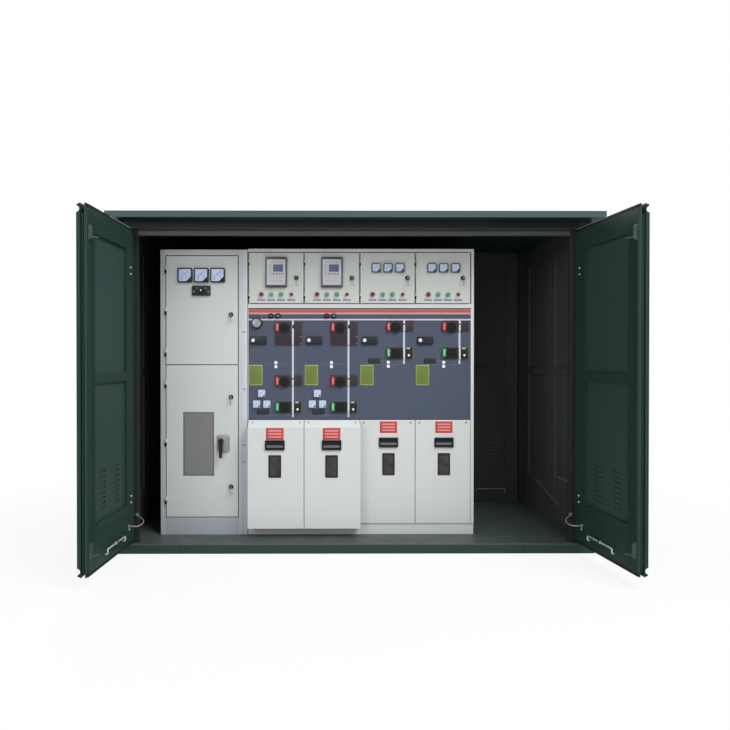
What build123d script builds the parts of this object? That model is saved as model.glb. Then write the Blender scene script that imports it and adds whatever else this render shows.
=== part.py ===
from build123d import *
from math import cos, radians, sin, tan
import os

# Outdoor cabinet with folding doors round a metering cabinet and a four-bay gas-insulated switchgear unit.
# Millimetres. +X right, +Y to the back, +Z up, origin on the ground under the middle of the base.

# Enclosure
body_width = 2656
body_depth = 1160
base_height = 50
base_flange = 100
base_web = 8
base_side_overhang = 24
floor_thickness = 5
sill_depth = 200
post_width = 70
wall_thickness = 30
eaves_height = 1869
header_height = 41
header_depth = 80
stop_width = 38
stop_setback = 35
stop_depth = 30
head_stop_drop = 35
head_groove_height = 12
head_groove_depth = 10
roof_side_overhang = 47
roof_end_overhang = 90
fascia_height = 36
roof_rise = 50
ridge_width = 60
ridge_length_share = 0.55
boss_radius = 15.5
boss_proud = 8
boss_spread = 1926
boss_height = 29

# Folding leaves
leaf_side_gap = 4
leaf_bottom = 66
leaf_top_gap = 4
leaf_thickness = 19
leaf_skin = 6
leaf_line_inset = 92
leaf_jamb_gap = 8
leaf_open_angle = 94.5
fold_gap = 20
seal_rebate = 22
seal_lip = 4
seal_sink = 3
hinge_stile = 121
free_stile = 75
leaf_bottom_rail = 234
leaf_top_rail = 131
mid_rail_height = 45
mid_rail_share = 0.53
field_depth = 10
border_width = 46
border_free_width = 22
border_rise = 3
notch_radius = 15
notch_length = 40
notch_inset = 28
fold_hinge_radius = 7
fold_hinge_setback = 10
fold_hinge_plate = 22
fold_hinge_top_gap = 47
fold_hinge_bottom_gap = 28
jamb_barrel_radius = 8
jamb_barrel_length = 120
jamb_plate_width = 34
jamb_plate_thickness = 3
jamb_hinge_shares = (0.08, 0.36, 0.64, 0.92)
running_gap = 0.3

# Louvres
louvre_width = 82
louvre_height = 12
louvre_pitch = 26
louvre_count = 8
louvre_rise = 8
louvre_taper = 30
louvre_slot_depth = 6
louvre_bottom = 340
leaf_louvre_shares = (0.296, 0.741)
wall_louvre_shares = (0.15, 0.85)
wall_stile = 90
wall_seam = 6
wall_seam_depth = 5
back_leaf_count = 4
side_leaf_count = 2

# Stay rods and shoot bolts on the leaves
rod_radius = 4.5
rod_start = 174
rod_length = 250
rod_height = 147
rod_drop = 25
rod_standoff = 12
rod_bend = 9
rod_clip_width = 20
rod_clip_height = 15
bolt_inset = 14
bolt_plate_width = 22
bolt_plate_height = 76
bolt_plate_thickness = 4
bolt_radius = 7
bolt_length = 60
bolt_pin_radius = 4
bolt_pin_length = 34
bolt_top_drop = 135
bolt_bottom_height = 190

# Earth leads, from the leaf face to the jamb stop
lead_radius = 3.5
lead_bend_share = 0.45
right_lead_route = (
    (1242.75, -673.74, 179.0),
    (1220.82, -675.47, 179.0),
    (1197.0, -666.0, 176.0),
    (1180.0, -643.0, 180.0),
    (1174.5, -614.0, 188.0),
    (1185.5, -591.0, 198.0),
    (1204.5, -577.0, 206.0),
    (1223.5, -561.0, 211.0),
    (1229.5, -545.0, 212.0),
)

# Metering cabinet
metering_width = 490
metering_side_gap = 194.5
metering_headroom = 88
metering_depth = 600
gear_setback = 210
sheet = 4
frame_return = 20
door_depth = 20
door_sheet = 3
door_gap = 5
metering_top_strip = 38
upper_door_height = 639
metering_plinth_height = 106
metering_door_width = 422
mid_bar_height = 40
post_strip_width = 23
hinge_clear = 0.4

# Hinges of the metering and instrument doors
knuckle_radius = 5
knuckle_length = 22
hinge_leaf_width = 9
knuckle_lap = 8
hinge_leaf_thickness = 2.5
metering_hinge_shares = (0.108, 0.49, 0.873)
instrument_knuckle_radius = 3.5
instrument_knuckle_length = 14
instrument_hinge_shares = (0.14, 0.80)

# Fittings of the metering doors
meter_size = 86
meter_proud = 16
meter_bezel = 7
meter_face_sink = 4
meter_x_shares = (0.265, 0.492, 0.721)
meter_z_share = 0.822
selector_width = 108
selector_height = 59
selector_proud = 14
selector_knob_radius = 17
selector_knob_proud = 22
selector_x_share = 0.492
selector_z_share = 0.68
lock_radius = 14
lock_proud = 9
key_width = 20
key_thickness = 4
key_length = 26
lock_x_share = 0.905
upper_lock_z_share = 0.46
lower_lock_z_shares = (0.79, 0.198)
grille_width = 182
grille_height = 376
grille_thickness = 4
grille_columns = 8
grille_rows = 16
grille_bar = 6
grille_x_share = 0.45
grille_z_share = 0.48
isolator_width = 73
isolator_height = 102
isolator_thickness = 10
isolator_x_share = 0.797
isolator_z_share = 0.484
handle_boss_radius = 15
handle_boss_length = 16
handle_arm = 92
handle_tip_radius = 8
handle_root_radius = 12
handle_arm_thickness = 14
handle_side_offset = 13
handle_rise = 15

# Switchgear unit
unit_width = 1336
unit_gap = 3.5
unit_back_gap = 170
unit_left_trim = 3
unit_right_trim = 18.2
bay_count = 4
unit_plinth_height = 64
plinth_setback = 6
panel_height = 659
panel_thickness = 20
panel_joint = 2
cover_proud = 87
cover_slope = 42
cover_joint = 3
deep_cover_drop = 9
deep_fitting_share = 0.485
flat_fitting_share = 0.518
deep_grip_drop = 5
grip_width = 113
grip_height = 58
grip_proud = 10
grip_rim = 8
grip_bar = 12
grip_drop = 133
cover_window_width = 73
cover_window_height = 130
cover_window_proud = 4
cover_window_frame = 8
cover_window_sink = 2
cover_window_drop = 261

# Operating stations on the mimic panel, as shares of the bay and of the panel height
station_width = 160
station_thickness = 7
station_x_share = 0.72
switch_station_height = 88
tall_station_height = 138
earth_station_height = 72
tall_station_drop = 35
breaker_bays = (0, 1)
load_bays = (2, 3)
breaker_switch_share = 0.827
breaker_lower_share = 0.343
breaker_earth_share = 0.112
load_switch_share = 0.832
load_earth_share = 0.597
station_corner = 8
knob_radius = 31
knob_base = 7
knob_bar_width = 18
knob_bar_length = 56
knob_bar_proud = 20
knob_x_share = 0.643
pill_radius = 8
pill_length = 34
pill_proud = 8
pill_x_share = 0.518
indicator_width = 94
indicator_height = 46
indicator_proud = 12
indicator_x_share = 0.176
indicator_z_share = 0.71
small_meter_size = 42
small_meter_proud = 14
small_meter_x_shares = (0.238, 0.146, 0.331)
small_meter_z_shares = (0.236, 0.140, 0.140)
gauge_radius = 32
gauge_proud = 22
gauge_rim = 5
gauge_sink = 6
gauge_x_share = 0.148
gauge_z_share = 0.866

# Instrument box on top of the unit
box_headroom = 83
box_height = 350
box_depth = 350
box_strip = 24
instrument_head = 23
upright_thickness = 14
end_trim_width = 15
instrument_door_margin = 4.85
relay_width = 126
relay_height = 180
relay_proud = 18
relay_rim = 10
relay_sink = 5
relay_x_share = 0.497
relay_z_share = 0.61
panel_meter_size = 56
panel_meter_proud = 14
panel_meter_x_shares = (0.288, 0.505, 0.725)
panel_meter_z_share = 0.70
button_radius = 14
button_proud = 16
button_x_shares = (0.222, 0.405, 0.588, 0.777)
button_z_share = 0.175
instrument_lock_x_share = 0.868
instrument_lock_z_share = 0.50

overrun = 1

# Levels and lines that several pieces share
half_width = body_width / 2
front_y = -body_depth / 2
back_y = body_depth / 2
floor_top = base_height + floor_thickness
header_bottom = eaves_height - header_height
post_line = half_width - post_width
wall_line = half_width - wall_thickness
stop_line = post_line - stop_width
leaf_width = post_line / 2 - leaf_side_gap
leaf_height = header_bottom - leaf_top_gap - leaf_bottom
leaf_line_x = half_width - leaf_line_inset
bolt_top_height = leaf_bottom + leaf_height - bolt_top_drop
gear_front = front_y + gear_setback
panel_back = gear_front + panel_thickness
door_back = gear_front + door_depth
metering_left = metering_side_gap - half_width
metering_right = metering_left + metering_width
metering_door_left = metering_left + (metering_width - metering_door_width) / 2
metering_top = header_bottom - metering_headroom
upper_door_top = metering_top - metering_top_strip
upper_door_bottom = upper_door_top - upper_door_height
lower_door_bottom = floor_top + metering_plinth_height
unit_left = metering_right + post_strip_width + unit_gap
unit_right = unit_left + unit_width
unit_back_y = back_y - wall_thickness - unit_back_gap
bay_line = unit_left + unit_left_trim
bay_pitch = (unit_width - unit_left_trim - unit_right_trim) / bay_count
plinth_top = floor_top + unit_plinth_height
box_top = header_bottom - box_headroom
unit_top = box_top - box_height
panel_bottom = unit_top - panel_height
cover_top = panel_bottom - cover_joint
cover_front = gear_front - cover_proud
box_floor = unit_top + box_strip
instrument_door_bottom = box_floor + door_gap
instrument_door_width = bay_pitch - 2 * instrument_door_margin
instrument_door_height = box_top - instrument_head - instrument_door_bottom
knuckle_y = gear_front - knuckle_radius
instrument_knuckle_y = gear_front - instrument_knuckle_radius


def save(piece, name):
    """Name a finished piece and write it."""
    piece.label = name
    export_step(piece, f"parts/{name}.step")


def slab(x_span, y_span, z_span, mode=Mode.ADD):
    """Add a plain plate, post or rail between two corners to the part being built."""
    spans = (x_span, y_span, z_span)
    with Locations(tuple((low + high) / 2 for low, high in spans)):
        Box(*(high - low for low, high in spans), mode=mode)


def facing(y):
    """An upright plane across the cabinet at depth y: x to the right, y up, facing the front."""
    return Plane(origin=(0, y, 0), x_dir=(1, 0, 0), z_dir=(0, -1, 0))


def rectangle_between(low, high):
    """Draw a rectangle between two corners in the sketch being built."""
    with Locations(((low[0] + high[0]) / 2, (low[1] + high[1]) / 2)):
        Rectangle(high[0] - low[0], high[1] - low[1])


def mirrored(piece):
    """The left-hand twin of a right-hand piece."""
    return mirror(piece, about=Plane.YZ, mode=Mode.PRIVATE)


# Base: channel rails round the footprint and one across the middle, with lifting bosses in front
with BuildPart() as base_long_rails:
    with BuildSketch(Plane.YZ.offset(-half_width - base_side_overhang)):
        rectangle_between((front_y, 0), (front_y + base_flange, base_height))
        with Locations((front_y + base_web + base_flange / 2, base_height / 2)):
            Rectangle(base_flange, base_height - 2 * base_web, mode=Mode.SUBTRACT)
    extrude(amount=body_width + 2 * base_side_overhang)
    mirror(about=Plane.XZ)
    with BuildSketch(facing(front_y)):
        with Locations((-boss_spread / 2, boss_height), (boss_spread / 2, boss_height)):
            Circle(boss_radius)
    extrude(amount=boss_proud)
save(base_long_rails.part, "base_long_rails")

with BuildPart() as base_cross_rails:
    with BuildSketch(facing(front_y + base_flange)):
        rail_lines = (-half_width, -base_flange / 2, half_width - base_flange)
        for rail_left, web_shift in zip(rail_lines, (base_web, base_web, -base_web)):
            rectangle_between((rail_left, 0), (rail_left + base_flange, base_height))
            with Locations((rail_left + web_shift + base_flange / 2, base_height / 2)):
                Rectangle(base_flange, base_height - 2 * base_web, mode=Mode.SUBTRACT)
    extrude(amount=-(body_depth - 2 * base_flange))
save(base_cross_rails.part, "base_cross_rails")

# Floor: a sill plate in the door opening and a floor plate behind it, cut round the posts
with BuildPart() as front_sill:
    with BuildSketch(Plane.XY.offset(base_height)):
        rectangle_between((-post_line, front_y), (post_line, front_y + sill_depth))
        rectangle_between((-wall_line, front_y + post_width), (wall_line, front_y + sill_depth))
    extrude(amount=floor_thickness)
save(front_sill.part, "front_sill")

with BuildPart() as floor_plate:
    with BuildSketch(Plane.XY.offset(base_height)):
        rectangle_between((-wall_line, front_y + sill_depth), (wall_line, back_y - wall_thickness))
        with GridLocations(body_width - post_width, body_depth - post_width, 2, 2):
            Rectangle(post_width, post_width, mode=Mode.SUBTRACT)
    extrude(amount=floor_thickness)
save(floor_plate.part, "floor_plate")

# Corner posts, the front pair with a stop strip for the closed leaves
with BuildPart() as corner_posts:
    with BuildSketch(Plane.XY.offset(base_height)):
        with GridLocations(body_width - post_width, body_depth - post_width, 2, 2):
            Rectangle(post_width, post_width)
    extrude(amount=eaves_height - base_height)
    with BuildSketch(Plane.XY.offset(floor_top)):
        with Locations((0, front_y + stop_setback + stop_depth / 2)):
            with GridLocations(2 * post_line - stop_width, 0, 2, 1):
                Rectangle(stop_width, stop_depth)
    extrude(amount=header_bottom - floor_top)
save(corner_posts.part, "corner_posts")

# Header over the opening, with a grooved stop under it
with BuildPart() as front_header:
    slab((-post_line, post_line), (front_y, front_y + header_depth), (header_bottom, eaves_height))
    stop_front = front_y + stop_setback
    slab((-stop_line, stop_line), (stop_front, stop_front + stop_depth),
         (header_bottom - head_stop_drop, header_bottom))
    slab((-stop_line, stop_line), (stop_front - overrun, stop_front + head_groove_depth),
         (header_bottom - head_groove_height, header_bottom), mode=Mode.SUBTRACT)
save(front_header.part, "front_header")

# Roof: a deep fascia under a low hip
with BuildPart() as roof:
    roof_width = body_width + 2 * roof_side_overhang
    roof_depth = body_depth + 2 * roof_end_overhang
    with BuildSketch(Plane.XY.offset(eaves_height)):
        Rectangle(roof_width, roof_depth)
    extrude(amount=fascia_height)
    with BuildSketch(Plane.XY.offset(eaves_height + fascia_height)):
        Rectangle(roof_width, roof_depth)
    with BuildSketch(Plane.XY.offset(eaves_height + fascia_height + roof_rise)):
        Rectangle(roof_width * ridge_length_share, ridge_width)
    loft()
save(roof.part, "roof")


def louvre_places(columns, bottom):
    """Centres of every slot in the louvre columns."""
    return [(column, bottom + (row + 0.5) * louvre_pitch) for column in columns for row in range(louvre_count)]


def press_louvres(plane, places, outer, floor):
    """Press hooded louvres through a sheet: hoods on the outer face, slots in the inner one."""
    with BuildSketch(plane.offset(outer)) as hoods:
        with Locations(*places):
            Rectangle(louvre_width, louvre_height)
    extrude(hoods.sketch, amount=-louvre_rise, taper=louvre_taper)
    with BuildSketch(plane.offset(floor)) as slots:
        with Locations(*places):
            Rectangle(louvre_width, louvre_height)
    extrude(slots.sketch, amount=-louvre_slot_depth, mode=Mode.SUBTRACT)


def folding_leaf(plane, notched):
    """A door leaf on a plane at its inner face: skin, set-back frame, sunk fields, border and louvres."""
    field_left = hinge_stile
    field_right = leaf_width - free_stile
    field_top = leaf_height - leaf_top_rail
    rail_low = leaf_height * mid_rail_share - mid_rail_height / 2
    rail_high = leaf_height * mid_rail_share + mid_rail_height / 2
    columns = [field_left + share * (field_right - field_left) for share in leaf_louvre_shares]
    with BuildPart() as leaf:
        with BuildSketch(plane.offset(-leaf_thickness)):
            rectangle_between((0, 0), (leaf_width, leaf_height))
        extrude(amount=leaf_skin)
        with BuildSketch(plane.offset(leaf_skin - leaf_thickness)):
            rectangle_between((0, seal_rebate), (leaf_width, leaf_height - seal_rebate))
        extrude(amount=leaf_thickness - leaf_skin)
        with BuildSketch(plane):
            rectangle_between((field_left - border_width, leaf_bottom_rail - border_width),
                              (field_right + border_free_width, field_top + border_width))
        extrude(amount=border_rise)
        with BuildSketch(plane.offset(border_rise)):
            rectangle_between((field_left, leaf_bottom_rail), (field_right, rail_low))
            rectangle_between((field_left, rail_high), (field_right, field_top))
        extrude(amount=-field_depth - border_rise, mode=Mode.SUBTRACT)
        places = louvre_places(columns, louvre_bottom - leaf_bottom)
        press_louvres(plane, places, -leaf_thickness, -field_depth)
        if notched:
            edge = Plane(origin=plane.origin, x_dir=plane.y_dir, z_dir=plane.x_dir)
            with BuildSketch(edge):
                with Locations((notch_inset, 0), (leaf_height - notch_inset, 0)):
                    Circle(notch_radius)
            extrude(amount=notch_length, mode=Mode.SUBTRACT)
    return leaf.part


def wall_of_leaves(plane, width, leaf_count):
    """A fixed wall of closed leaves on a plane at its inner face: seams, sunk fields and louvres."""
    height = eaves_height - base_height
    pitch = width / leaf_count
    field_half = pitch / 2 - wall_stile
    centres = [(index + 0.5) * pitch - width / 2 for index in range(leaf_count)]
    seams = [index * pitch - width / 2 for index in range(1, leaf_count)]
    rail_low = height * mid_rail_share - mid_rail_height / 2
    rail_high = height * mid_rail_share + mid_rail_height / 2
    columns = [centre + (2 * share - 1) * field_half for centre in centres for share in wall_louvre_shares]
    with BuildPart() as wall:
        with BuildSketch(plane):
            rectangle_between((-width / 2, 0), (width / 2, height))
        extrude(amount=-wall_thickness)
        with BuildSketch(plane):
            for centre in centres:
                field_left = centre - field_half
                field_right = centre + field_half
                rectangle_between((field_left, leaf_bottom_rail), (field_right, rail_low))
                rectangle_between((field_left, rail_high), (field_right, height - leaf_top_rail))
        extrude(amount=-field_depth, mode=Mode.SUBTRACT)
        for face, sink in ((0, -wall_seam_depth), (-wall_thickness, wall_seam_depth)):
            with BuildSketch(plane.offset(face)):
                for seam in seams:
                    rectangle_between((seam - wall_seam / 2, 0), (seam + wall_seam / 2, height))
            extrude(amount=sink, mode=Mode.SUBTRACT)
        press_louvres(plane, louvre_places(columns, louvre_bottom - base_height), -wall_thickness, -field_depth)
    return wall.part


# Back and side walls between the posts
back_plane = Plane(origin=(0, back_y - wall_thickness, base_height), x_dir=(1, 0, 0), z_dir=(0, -1, 0))
save(wall_of_leaves(back_plane, 2 * post_line, back_leaf_count), "back_wall")
side_plane = Plane(origin=(wall_line, 0, base_height), x_dir=(0, -1, 0), z_dir=(-1, 0, 0))
right_wall = wall_of_leaves(side_plane, body_depth - 2 * post_width, side_leaf_count)
save(right_wall, "right_wall")
save(mirrored(right_wall), "left_wall")

# Right-hand pair of leaves, folded back to back, and its left-hand twin
swing = radians(leaf_open_angle - 90)
along = Vector(sin(swing), -cos(swing), 0)
inward = Vector(-cos(swing), -sin(swing), 0)
leaf_root = Vector(leaf_line_x, front_y - leaf_jamb_gap, leaf_bottom)
fold_depth = 2 * leaf_thickness + fold_gap
inner_plane = Plane(origin=leaf_root, x_dir=along, z_dir=inward)
outer_plane = Plane(origin=leaf_root + along * leaf_width - inward * fold_depth, x_dir=-along, z_dir=-inward)
right_inner_leaf = folding_leaf(inner_plane, notched=False)
right_outer_leaf = folding_leaf(outer_plane, notched=True)
save(right_inner_leaf, "right_inner_leaf")
save(right_outer_leaf, "right_outer_leaf")
save(mirrored(right_inner_leaf), "left_inner_leaf")
save(mirrored(right_outer_leaf), "left_outer_leaf")

# Rubber seals in the rebates at the top and bottom of every leaf
with BuildPart() as leaf_seals:
    for plane in (inner_plane, outer_plane):
        with BuildSketch(plane.offset(leaf_skin - leaf_thickness)):
            rectangle_between((0, seal_lip), (leaf_width, seal_rebate))
            rectangle_between((0, leaf_height - seal_rebate), (leaf_width, leaf_height - seal_lip))
        extrude(amount=leaf_thickness - leaf_skin - seal_sink)
    with BuildSketch(Plane(origin=outer_plane.origin, x_dir=outer_plane.y_dir, z_dir=outer_plane.x_dir)):
        with Locations((notch_inset, 0), (leaf_height - notch_inset, 0)):
            Circle(notch_radius)
    extrude(amount=notch_length, mode=Mode.SUBTRACT)
    mirror(about=Plane.YZ)
save(leaf_seals.part, "leaf_seals")

# Hinges: barrels with a plate on each jamb, and a long hinge between the two leaves of a pair
with BuildPart() as leaf_hinges:
    barrel_place = inner_plane.from_local_coords((0, 0, -leaf_thickness - jamb_barrel_radius - running_gap))
    barrel_x = barrel_place.X
    barrel_y = front_y - jamb_barrel_radius - running_gap
    for share in jamb_hinge_shares:
        barrel_z = leaf_bottom + share * leaf_height - jamb_barrel_length / 2
        with BuildSketch(Plane.XY.offset(barrel_z)):
            with Locations((barrel_x, barrel_y)):
                Circle(jamb_barrel_radius)
            rectangle_between((barrel_x, front_y - jamb_plate_thickness),
                              (barrel_x + jamb_plate_width, front_y))
        extrude(amount=jamb_barrel_length)
    hinge_length = leaf_height - fold_hinge_top_gap - fold_hinge_bottom_gap
    with BuildSketch(inner_plane.offset(-leaf_thickness)):
        rectangle_between((leaf_width - fold_hinge_setback - fold_hinge_plate, fold_hinge_bottom_gap),
                          (leaf_width - fold_hinge_setback, leaf_height - fold_hinge_top_gap))
    extrude(amount=-fold_gap)
    knuckle_foot = (leaf_width - fold_hinge_setback, fold_hinge_bottom_gap, -leaf_thickness - fold_gap / 2)
    with BuildSketch(Plane(origin=inner_plane.from_local_coords(knuckle_foot), z_dir=(0, 0, 1))):
        Circle(fold_hinge_radius)
    extrude(amount=hinge_length)
    mirror(about=Plane.YZ)
save(leaf_hinges.part, "leaf_hinges")

# Stay rods that hold the leaves open, in their clips at the foot of the inner leaves
with BuildPart() as stay_rods:
    rod_low = rod_height - rod_drop - leaf_bottom
    rod_high = rod_height - leaf_bottom
    rod_end = rod_start + rod_length
    corners = ((rod_start, rod_low, 0), (rod_start, rod_low, rod_standoff), (rod_start, rod_high, rod_standoff),
               (rod_end, rod_high, rod_standoff), (rod_end, rod_low, rod_standoff), (rod_end, rod_low, 0))
    with BuildLine() as rod_path:
        FilletPolyline(*[inner_plane.from_local_coords(corner) for corner in corners], radius=rod_bend)
    with BuildSketch(Plane(origin=rod_path.line @ 0, z_dir=rod_path.line % 0)):
        Circle(rod_radius)
    sweep()
    with BuildSketch(inner_plane):
        with Locations(((rod_start + rod_end) / 2, rod_high)):
            Rectangle(rod_clip_width, rod_clip_height)
    extrude(amount=rod_standoff + rod_radius + rod_radius / 2)
    mirror(about=Plane.YZ)
save(stay_rods.part, "stay_rods")

# Shoot bolts at the free edge of the inner leaves, each with a turning pin
with BuildPart() as shoot_bolts:
    bolt_line = leaf_width - bolt_inset
    for bolt_height in (bolt_top_height, bolt_bottom_height):
        centre = bolt_height - leaf_bottom
        with BuildSketch(inner_plane):
            with Locations((bolt_line, centre)):
                RectangleRounded(bolt_plate_width, bolt_plate_height, bolt_plate_thickness)
        extrude(amount=bolt_plate_thickness)
        barrel = inner_plane.from_local_coords((bolt_line, centre - bolt_length / 2,
                                                bolt_plate_thickness + bolt_radius / 2))
        with BuildSketch(Plane(origin=barrel, z_dir=(0, 0, 1))):
            Circle(bolt_radius)
        extrude(amount=bolt_length)
        pin = inner_plane.from_local_coords((bolt_line, centre - bolt_length / 2 + bolt_radius,
                                             bolt_plate_thickness + bolt_radius))
        with BuildSketch(Plane(origin=pin, z_dir=inward - along)):
            Circle(bolt_pin_radius)
        extrude(amount=bolt_pin_length)
    mirror(about=Plane.YZ)
save(shoot_bolts.part, "shoot_bolts")

# Earth leads: flexible copper between each inner leaf and its jamb
lead_points = [Vector(*point) for point in right_lead_route]
lead_radii = []
for before, corner, after in zip(lead_points, lead_points[1:], lead_points[2:]):
    turn = radians((corner - before).get_angle(after - corner))
    shorter = min((corner - before).length, (after - corner).length)
    lead_radii.append(lead_bend_share * shorter / tan(turn / 2))
print("lead radii", [round(bend, 1) for bend in lead_radii])
with BuildPart() as right_earth_lead:
    with BuildLine() as lead_path:
        FilletPolyline(*lead_points, radius=lead_radii)
    with BuildSketch(Plane(origin=lead_path.line @ 0, z_dir=lead_path.line % 0)):
        Circle(lead_radius)
    sweep()
save(right_earth_lead.part, "right_earth_lead")
save(mirrored(right_earth_lead.part), "left_earth_lead")

# Metering cabinet: folded side walls, top, plinth with floor, back, and a bar behind the door joint
metering_back_y = gear_front + metering_depth
frame_strip = (metering_width - metering_door_width) / 2 - door_gap
with BuildPart() as metering_sides:
    with BuildSketch(Plane.XY.offset(floor_top)):
        return_back = gear_front + frame_return
        rectangle_between((metering_left, gear_front), (metering_left + sheet, metering_back_y - sheet))
        rectangle_between((metering_left, gear_front), (metering_left + frame_strip, return_back))
        rectangle_between((metering_right - sheet, gear_front), (metering_right, metering_back_y - sheet))
        rectangle_between((metering_right - frame_strip, gear_front), (metering_right, return_back))
    extrude(amount=metering_top - floor_top)
save(metering_sides.part, "metering_sides")

with BuildPart() as metering_plates:
    inner_left = metering_left + frame_strip
    inner_right = metering_right - frame_strip
    with BuildSketch(Plane.YZ.offset(inner_left)):
        rectangle_between((gear_front, upper_door_top + door_gap), (gear_front + frame_return, metering_top))
        rectangle_between((gear_front, floor_top), (gear_front + frame_return, lower_door_bottom - door_gap))
    extrude(amount=inner_right - inner_left)
    inside_left = metering_left + sheet
    inside_right = metering_right - sheet
    sheet_front = gear_front + frame_return
    sheet_back = metering_back_y - sheet
    sill_level = lower_door_bottom - door_gap
    slab((inside_left, inside_right), (sheet_front, sheet_back), (metering_top - sheet, metering_top))
    slab((inside_left, inside_right), (sheet_front, sheet_back), (sill_level - sheet, sill_level))
    bar_middle = upper_door_bottom - door_gap / 2
    slab((inside_left, inside_right), (door_back + door_gap, door_back + door_gap + frame_return),
         (bar_middle - mid_bar_height / 2, bar_middle + mid_bar_height / 2))
save(metering_plates.part, "metering_plates")

with BuildPart() as metering_back:
    slab((metering_left, metering_right), (metering_back_y - sheet, metering_back_y), (floor_top, metering_top))
save(metering_back.part, "metering_back")

with BuildPart() as filler_post:
    slab((metering_right, metering_right + post_strip_width), (gear_front, panel_back),
         (floor_top, metering_top))
save(filler_post.part, "filler_post")


def hinged_pan(left, bottom, width, height, pivot, radius, length, shares, window=None):
    """A folded sheet door, open at the back, with knuckles over the fixed ones and a window if one is given."""
    with BuildPart() as pan:
        slab((left, left + width), (gear_front, door_back), (bottom, bottom + height))
        slab((left + door_sheet, left + width - door_sheet), (gear_front + door_sheet, door_back + overrun),
             (bottom + door_sheet, bottom + height - door_sheet), mode=Mode.SUBTRACT)
        for share in shares:
            knuckle_bottom = bottom + share * height + hinge_clear
            with BuildSketch(Plane.XY.offset(knuckle_bottom)):
                with Locations(pivot):
                    Circle(radius)
                rectangle_between((pivot[0], gear_front - hinge_leaf_thickness),
                                  (left + knuckle_lap, gear_front))
            extrude(amount=length)
        if window:
            with BuildSketch(facing(gear_front)):
                with Locations(window):
                    Rectangle(grille_width, grille_height)
            extrude(amount=-door_sheet, mode=Mode.SUBTRACT)
    return pan.part


# Metering doors, the lower one with a window for its vent grille
metering_pivot = (metering_door_left - door_gap / 2, knuckle_y)
lower_top = upper_door_bottom - door_gap
lower_height = lower_top - lower_door_bottom
metering_upper_door = hinged_pan(metering_door_left, upper_door_bottom, metering_door_width, upper_door_height,
                                 metering_pivot, knuckle_radius, knuckle_length, metering_hinge_shares)
save(metering_upper_door, "metering_upper_door")

grille_x = metering_door_left + grille_x_share * metering_door_width
grille_z = lower_door_bottom + grille_z_share * lower_height
metering_lower_door = hinged_pan(metering_door_left, lower_door_bottom, metering_door_width, lower_height,
                                 metering_pivot, knuckle_radius, knuckle_length, metering_hinge_shares,
                                 window=(grille_x, grille_z))
save(metering_lower_door, "metering_lower_door")

with BuildPart() as vent_grille:
    with BuildSketch(facing(gear_front)):
        with Locations((grille_x, grille_z)):
            Rectangle(grille_width, grille_height)
            column_pitch = (grille_width - grille_bar) / grille_columns
            row_pitch = (grille_height - grille_bar) / grille_rows
            with GridLocations(column_pitch, row_pitch, grille_columns, grille_rows):
                Rectangle(column_pitch - grille_bar, row_pitch - grille_bar, mode=Mode.SUBTRACT)
    extrude(amount=-grille_thickness)
save(vent_grille.part, "vent_grille")


def lock_with_key(face_y, places):
    """Cylinder locks with a key standing in each, on the part being built."""
    with BuildSketch(facing(face_y)) as barrels:
        with Locations(*places):
            Circle(lock_radius)
    extrude(barrels.sketch, amount=lock_proud)
    with BuildSketch(facing(face_y - lock_proud)) as keys:
        with Locations(*places):
            Rectangle(key_thickness, key_width)
    extrude(keys.sketch, amount=key_length)


def framed_box(face_y, places, width, height, proud, rim, sink):
    """Instruments in a raised frame with a sunk face, on the part being built."""
    with BuildSketch(facing(face_y)) as frames:
        with Locations(*places):
            Rectangle(width, height)
    extrude(frames.sketch, amount=proud)
    with BuildSketch(facing(face_y - proud)) as faces:
        with Locations(*places):
            Rectangle(width - 2 * rim, height - 2 * rim)
    extrude(faces.sketch, amount=-sink, mode=Mode.SUBTRACT)


def on_door(left, bottom, width, height, x_share, z_share):
    """A place on a door, from shares of its width and height."""
    return (left + x_share * width, bottom + z_share * height)


# Meters, selector switch and lock on the upper metering door
upper_place = (metering_door_left, upper_door_bottom, metering_door_width, upper_door_height)
lower_place = (metering_door_left, lower_door_bottom, metering_door_width, lower_height)
with BuildPart() as upper_door_controls:
    meter_places = [on_door(*upper_place, share, meter_z_share) for share in meter_x_shares]
    framed_box(gear_front, meter_places, meter_size, meter_size, meter_proud, meter_bezel, meter_face_sink)
    selector_place = on_door(*upper_place, selector_x_share, selector_z_share)
    with BuildSketch(facing(gear_front)):
        with Locations(selector_place):
            Rectangle(selector_width, selector_height)
    extrude(amount=selector_proud)
    with BuildSketch(facing(gear_front - selector_proud)):
        with Locations(selector_place):
            Circle(selector_knob_radius)
    extrude(amount=selector_knob_proud)
    lock_with_key(gear_front, [on_door(*upper_place, lock_x_share, upper_lock_z_share)])
save(upper_door_controls.part, "upper_door_controls")

# Locks and the isolator's plate on the lower metering door
isolator_place = on_door(*lower_place, isolator_x_share, isolator_z_share)
with BuildPart() as lower_door_fittings:
    lock_with_key(gear_front, [on_door(*lower_place, lock_x_share, share) for share in lower_lock_z_shares])
    with BuildSketch(facing(gear_front)):
        with Locations(isolator_place):
            RectangleRounded(isolator_width, isolator_height, station_corner)
    extrude(amount=isolator_thickness)
save(lower_door_fittings.part, "lower_door_fittings")

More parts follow.
